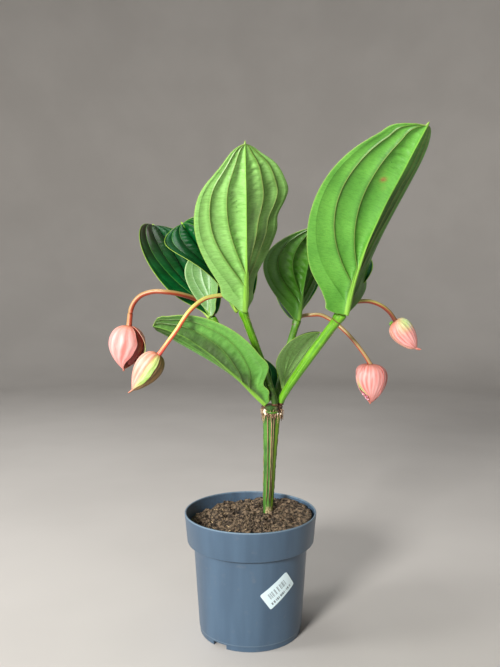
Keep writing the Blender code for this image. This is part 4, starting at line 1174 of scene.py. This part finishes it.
def build_bud(name, spec, bract_material, floret_material):
    """A hanging drop of overlapping bracts round a core."""
    parts = [build_bract(name, spec, bract) for bract in [BUD_CORE, *spec["bracts"]]]
    values = {key: np.concatenate([part[2][key] for part in parts]) for key in parts[0][2]}
    piece(f"bracts_{name}", *merged([part[:2] for part in parts]), [bract_material], "bud_pink",
          [f"bud_{name}"], values=values)
    if "opening" not in spec:
        return
    rng = np.random.default_rng(FLORETS["seed"])
    _, _, across, front = bud_frame(name, spec)
    florets = []
    for share, turn in spec["opening"]:
        turn, at = math.radians(turn), np.array([share])
        reach = bud_body(at, spec) * (spec["width"] / 2 - BRACT["inset"]) + FLORETS["proud"]
        centre = bud_line(at, name, spec)[0] + (across * math.cos(turn) + front * math.sin(turn)) * reach
        florets.append(lump(centre, rng.uniform(*FLORETS["radius"]), rng, 2))
    piece(f"florets_{name}", *merged(florets), [floret_material], "bud_pink")


def build_bractlet(material):
    """A small green scale at the foot of the right bud."""
    top, axis, across, front = bud_frame("right", BUDS["right"])
    start = top - across * 3.0 - axis * 0.5 + front * 1.5
    t, v = np.linspace(0, 1, BRACTLET["rows"])[:, None], np.linspace(-1, 1, BRACTLET["columns"])
    half = BRACTLET["half_width"] * np.sin(np.pi * (0.12 + 0.86 * t)) ** 0.7
    places = stacked(-t * BRACTLET["length"], half * v + BRACTLET["droop"] * t, BRACTLET["curl"] * v ** 2)
    sheet = start + places @ np.array([across, axis, front])
    verts, faces = shell(sheet, sheet - front * BRACTLET["thick"])
    piece("bractlet_right", verts, faces, [material], "bud_pink", values=plain_skin(verts, 0.3))


# ---------------------------------------------------------------- pot, sticker and soil
def body_radius(z):
    """Outer radius of the pot's tapered body below its collar."""
    top = POT["height"] - POT["collar_height"]
    share = (z - POT["foot_height"]) / (top - POT["foot_height"])
    return POT["body_foot_radius"] + share * (POT["body_top_radius"] - POT["body_foot_radius"])


def pot_profile():
    """The pot's section: outside from rim to foot, under the floor, then up the inside."""
    top, wall, rim, lip = POT["height"], POT["wall"], POT["rim_radius"], POT["collar_foot_radius"]
    collar = top - POT["collar_height"]
    body, step, foot = POT["body_foot_radius"], POT["foot_height"], POT["foot_radius"]
    ring, boss = foot - POT["foot_width"], POT["boss_radius"]
    under, thick = POT["floor"], POT["floor_thick"]
    inside = under + thick
    return [
        (rim - wall, top - 0.3), (rim - wall + 0.5, top), (rim - 0.5, top), (rim - 0.1, top - 0.3),
        (rim, top - 0.9), (rim - 0.15, top - 3.2), (rim - 0.35, top - 4.0),
        (lip + 0.05, collar + 1.6), (lip - 0.4, collar + 0.5), (lip - 1.4, collar),
        (body_radius(collar) + 0.6, collar), (body_radius(collar) + 0.1, collar - 0.3),
        (body_radius(collar - 1.5), collar - 1.5), (body_radius(40), 40),
        (body, step), (body - 0.25, step - 0.25), (foot, step - 0.9), (foot - 0.3, 0.8), (foot - 1.0, 0),
        (ring, 0), (ring - 0.6, under), (boss + 3, under), (boss, 0), (0, 0), (0, thick),
        (boss - 0.5, thick), (boss + 2.2, inside), (body_radius(10) - wall - 2, inside),
        (body_radius(12) - wall, inside + 2), (body_radius(collar - 2) - wall, collar - 2),
        (lip - wall - 1.4, collar + 2),
    ]


def pot_cutters():
    """The blocks that cut the foot ring's notches and the drills that cut the drain holes."""
    cutters = []
    for i in range(NOTCH["count"]):
        block = bmesh.new()
        bmesh.ops.create_cube(block, size=1)
        size = Vector((NOTCH["width"], 4 * POT["foot_width"], 2 * NOTCH["height"])) * MM
        radius = (POT["foot_radius"] - POT["foot_width"] / 2) * MM
        turn = Matrix.Rotation(-math.radians(NOTCH["first_bearing"] + i * 360 / NOTCH["count"]), 4, "Z")
        matrix = turn @ Matrix.Translation((0, radius, 0)) @ Matrix.Diagonal((*size, 1))
        bmesh.ops.transform(block, matrix=matrix, verts=block.verts)
        cutters.append(block)
    for i in range(DRAIN["count"]):
        at = math.radians(i * 360 / DRAIN["count"])
        middle = Vector((DRAIN["circle_radius"] * math.sin(at), DRAIN["circle_radius"] * math.cos(at),
                         POT["floor"] + POT["floor_thick"] / 2)) * MM
        radius = DRAIN["radius"] * MM
        drill = bmesh.new()
        bmesh.ops.create_cone(drill, cap_ends=True, segments=DRAIN["sides"], radius1=radius, radius2=radius,
                              depth=3 * POT["floor_thick"] * MM, matrix=Matrix.Translation(middle))
        cutters.append(drill)
    return cutters


def build_pot(outside, inside):
    """The moulded pot, turned from its section, with notches in its foot ring and drain holes."""
    profile = pot_profile()
    mesh = bpy.data.meshes.new("pot_turned")
    edges = [(i, (i + 1) % len(profile)) for i in range(len(profile))]
    mesh.from_pydata([(r * MM, 0, z * MM) for r, z in profile], edges, [])
    pot = add_object("pot_shell", mesh)
    turn = pot.modifiers.new("turn", "SCREW")
    turn.steps = turn.render_steps = POT["sides"]
    turn.use_merge_vertices = True
    turn.merge_threshold = 0.01 * MM
    tools = []
    for i, cutter in enumerate(pot_cutters()):
        cut_mesh = bpy.data.meshes.new(f"cut_{i}")
        cutter.to_mesh(cut_mesh)
        cutter.free()
        tools.append(add_object(f"cut_{i}", cut_mesh))
        cut = pot.modifiers.new(f"cut {i}", "BOOLEAN")
        cut.operation, cut.solver, cut.object = "DIFFERENCE", "EXACT", tools[-1]
    made = bpy.data.meshes.new_from_object(pot.evaluated_get(bpy.context.evaluated_depsgraph_get()))
    for tool in tools:
        bpy.data.objects.remove(tool, do_unlink=True)
    pot.modifiers.clear()
    pot.data = made
    made.materials.clear()
    made.materials.append(outside)
    made.materials.append(inside)
    for face in made.polygons:
        middle = face.center
        face.material_index = int(face.normal.x * middle.x + face.normal.y * middle.y < -0.001
                                  and middle.z > POT["floor"] * MM)
    made.shade_smooth()
    made.set_sharp_from_angle(angle=math.radians(POT["sharp"]))
    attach(pot, BODY)
    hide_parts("pot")


def build_label(material):
    """The sticker, wrapped round the pot's body, with one corner slightly lifted."""
    turn = math.radians(LABEL["turn"])
    u, v = np.meshgrid(np.linspace(-1, 1, LABEL["columns"]), np.linspace(-1, 1, LABEL["rows"]))
    pull = LABEL["corner"] * 0.29 * ramp(np.abs(u) * np.abs(v), 0.90, 0.10)
    x, y = u * LABEL["width"] / 2 - np.sign(u) * pull, v * LABEL["height"] / 2 - np.sign(v) * pull
    arc, rise = x * math.cos(turn) - y * math.sin(turn), x * math.sin(turn) + y * math.cos(turn)
    z = LABEL["level"] + rise
    lift = LABEL["lift"] * ramp(u + v, 1.55, 0.45) ** 2
    at = math.radians(LABEL["bearing"]) - arc / body_radius(z)
    sheets = []
    for proud in (LABEL["gap"] + LABEL["thick"], LABEL["gap"] * 0.2):
        radius = body_radius(z) + proud + lift
        sheets.append(stacked(radius * np.sin(at), radius * np.cos(at), z))
    values = {"sticker_u": both_sides((u + 1) / 2), "sticker_v": both_sides((v + 1) / 2)}
    piece("sticker", *shell(*sheets), [material], "sticker_paper", ["label"], values=values,
          sharp=LABEL["sharp"])


def soil_height(x, y):
    """The soil's level at points, and how far down each lies in a gap between clods, which also sets the
    painted shade there.
    """
    edge = POT["collar_foot_radius"] - POT["wall"]
    broad, clods, small, grit = [field(stacked(x, y, 0.0), scale, seed)
                                 for scale, seed in ((0.035, 1), (0.10, 2), (0.26, 3), (0.6, 4))]
    from_stem = np.hypot(x - STEM["foot"][0], y - STEM["foot"][1])
    pit = np.clip(-(clods + 0.45 * small) * 1.9 - 0.25, 0, 1)
    rough = 1.3 * broad + 2.2 * clods + 1.6 * np.abs(small) + 0.9 * grit - 2.6 * pit
    level = SOIL["level"] + SOIL["rise_to_right"] * x / edge + rough - 0.6
    return level - SOIL["hollow"] * bell(from_stem, SOIL["hollow_reach"]), pit


def build_soil(crust):
    """The soil's body: a rough surface and a skirt down to the floor."""
    rings, sides = SOIL["rings"], SOIL["sides"]
    edge, wall = POT["collar_foot_radius"] - POT["wall"] - 0.5, POT["wall"] + 0.5
    out = around(full_turn(sides))
    surface = out * (edge * np.arange(rings, 0, -1) / rings)[:, None, None]
    surface[..., 2], pit = soil_height(surface[..., 0], surface[..., 1])
    surface[..., 2] = np.minimum(surface[..., 2], POT["height"] - 2.5)
    low = POT["floor"] + POT["floor_thick"] + 0.4
    skirt = [out * reach + (0, 0, level)
             for level, reach in ((low, body_radius(10) - wall - 3), (low + 4, body_radius(12) - wall),
                                  (100, body_radius(100) - wall), (SOIL["level"] - 10, edge - 1))]
    verts, faces = closed_tube(np.concatenate([skirt, surface]))
    verts[-1, 2] = soil_height(np.zeros(1), np.zeros(1))[0][0]
    depth = np.concatenate([np.ones(len(skirt) * sides), pit.ravel(), (1, 0.2)])
    piece("soil_bed", verts, faces, [crust], "soil", ["soil"], values={"pit": depth})


def build_crumbs(crust, pale, dark):
    """Loose crumbs, bigger clods, and flecks and chips of bark on the soil."""
    rng = np.random.default_rng(SOIL["seed"])
    reach_limit = POT["collar_foot_radius"] - POT["wall"] - CRUMBS["edge_room"]
    stem_x, stem_y, _ = STEM["foot"]
    first_chip, first_clod = CRUMBS["count"], CRUMBS["count"] + CHIPS["count"]
    crumbs, flecks, chips = [], [], []
    for k in range(first_clod + CLODS["count"]):
        reach, bearing = reach_limit * math.sqrt(rng.uniform(0, 1)), rng.uniform(0, 2 * math.pi)
        x, y = reach * math.sin(bearing), reach * math.cos(bearing)
        if math.hypot(x - stem_x, y - stem_y) < STEM["foot_radius"] + CRUMBS["stem_room"]:
            continue
        height = min(soil_height(np.array([x]), np.array([y]))[0][0], POT["height"] - 4)
        if k >= first_clod:
            size = rng.uniform(*CLODS["size"])
            crumbs.append(lump((x, y, height - size * 0.1), size, rng, 2))
        elif k < first_chip:
            least, most = CRUMBS["size"]
            size = least + (most - least) * rng.uniform(0, 1) ** 2.2
            crumbs.append(lump((x, y, height + size * 0.25), size, rng))
        else:
            size = [rng.uniform(*limits) for limits in CHIPS["sizes"]]
            verts, faces = lump((0, 0, 0), size, rng)
            turn = Matrix.Rotation(rng.uniform(0, 6.28), 3, "Z")
            tilt = turn @ Matrix.Rotation(rng.uniform(-CHIPS["tilt"], CHIPS["tilt"]), 3, "Y")
            chip = (verts @ np.array(tilt).T + (x, y, height + 0.7), faces)
            (flecks if k % 3 else chips).append(chip)
    verts, faces = merged(crumbs)
    piece("soil_crumbs", verts, faces, [crust], "soil", values={"pit": np.zeros(len(verts))})
    piece("soil_flecks", *merged(flecks), [pale], "soil")
    piece("soil_chips", *merged(chips), [dark], "soil")


# ---------------------------------------------------------------- stage
def build_floor():
    """A plain pale floor with a round backdrop."""
    bend = np.radians(np.linspace(0, 90, 16))
    flat, curve = STAGE["flat"], STAGE["curve"]
    radius = np.concatenate([[flat / 2], flat + curve * np.sin(bend), [flat + curve]])
    level = np.concatenate([[0], curve * (1 - np.cos(bend)), [STAGE["wall"]]])
    rings = around(full_turn(STAGE["sides"])) * radius[:, None, None]
    rings[..., 2] = level[:, None]
    faces = grid_faces(*rings.shape[:2], closed=True) + [tuple(range(STAGE["sides"]))[::-1]]
    mesh = bpy.data.meshes.new("floor")
    mesh.from_pydata(rings.reshape(-1, 3), [], faces)
    mesh.shade_smooth()
    mesh.materials.append(floor_paint())
    add_object("floor", mesh)


def build_light():
    """Soft studio light: a dim even world and three round lamps."""
    world = bpy.data.worlds.new("studio")
    world.use_nodes = True
    background = world.node_tree.nodes["Background"]
    background.inputs["Color"].default_value = (*WORLD["color"], 1)
    background.inputs["Strength"].default_value = WORLD["strength"]
    bpy.context.scene.world = world
    for name, lamp in LAMPS.items():
        light = bpy.data.lights.new(name, "AREA")
        light.shape = "DISK"
        light.size, light.energy, light.color = lamp["size"], lamp["energy"], lamp["color"]
        obj = add_object(name, light)
        obj.location = lamp["place"]
        obj.rotation_euler = (Vector(LAMP_AIM) * MM - obj.location).to_track_quat("-Z", "Y").to_euler()


def build_camera():
    """The camera that took the photo."""
    data = bpy.data.cameras.new("camera")
    data.sensor_width = CAMERA["sensor"]
    data.lens = CAMERA["focal_px"] / CAMERA["photo_height_px"] * CAMERA["sensor"]
    data.clip_start, data.clip_end = 0.01, 20
    camera = add_object("camera", data)
    camera.location = Vector(CAMERA["place"]) * MM
    camera.rotation_euler = (math.radians(90 - CAMERA["pitch"]), 0, 0)
    bpy.context.scene.camera = camera
    bpy.context.scene.view_settings.view_transform = "Standard"


# ---------------------------------------------------------------- assembly
build_floor()
build_light()
build_camera()
green_skin, crust = branch_skin(), soil_crust()
build_pot(pot_plastic("pot plastic", 0.0), pot_plastic("pot inside", 0.4))
build_label(sticker_paper())
build_soil(crust)
build_crumbs(crust, bark_fleck("pale fleck", (150, 122, 88), (206, 182, 140)),
             bark_fleck("dark chip", (58, 38, 26), (104, 72, 50)))
build_stem(stem_bark())
build_head(scar_cork(), green_skin)
build_tufts(dry_tuft("tan thread", (140, 106, 76), (206, 176, 138)),
            dry_tuft("brown thread", (62, 44, 30), (112, 84, 58)),
            dry_tuft("pale scale", (222, 212, 186), (246, 240, 222)))
for branch_name, branch_spec in BRANCHES.items():
    build_branch(branch_name, branch_spec, green_skin)
build_bristles(dry_tuft("bristle", (150, 136, 70), (206, 196, 130)))
leaf_materials = [leaf_upper(), leaf_under(), leaf_rim()]
for leaf_name, leaf_spec in LEAVES.items():
    build_leaf(leaf_name, leaf_spec, leaf_materials)
stalk_material = stalk_skin()
for stalk_name, stalk_spec in STALKS.items():
    build_stalk(stalk_name, stalk_spec, stalk_material)
bract_material = bract_skin()
floret_material = grained("floret skin", 0.4, 700, (206, 70, 110), (250, 200, 214))
for bud_name, bud_spec in BUDS.items():
    build_bud(bud_name, bud_spec, bract_material, floret_material)
build_bractlet(green_skin)
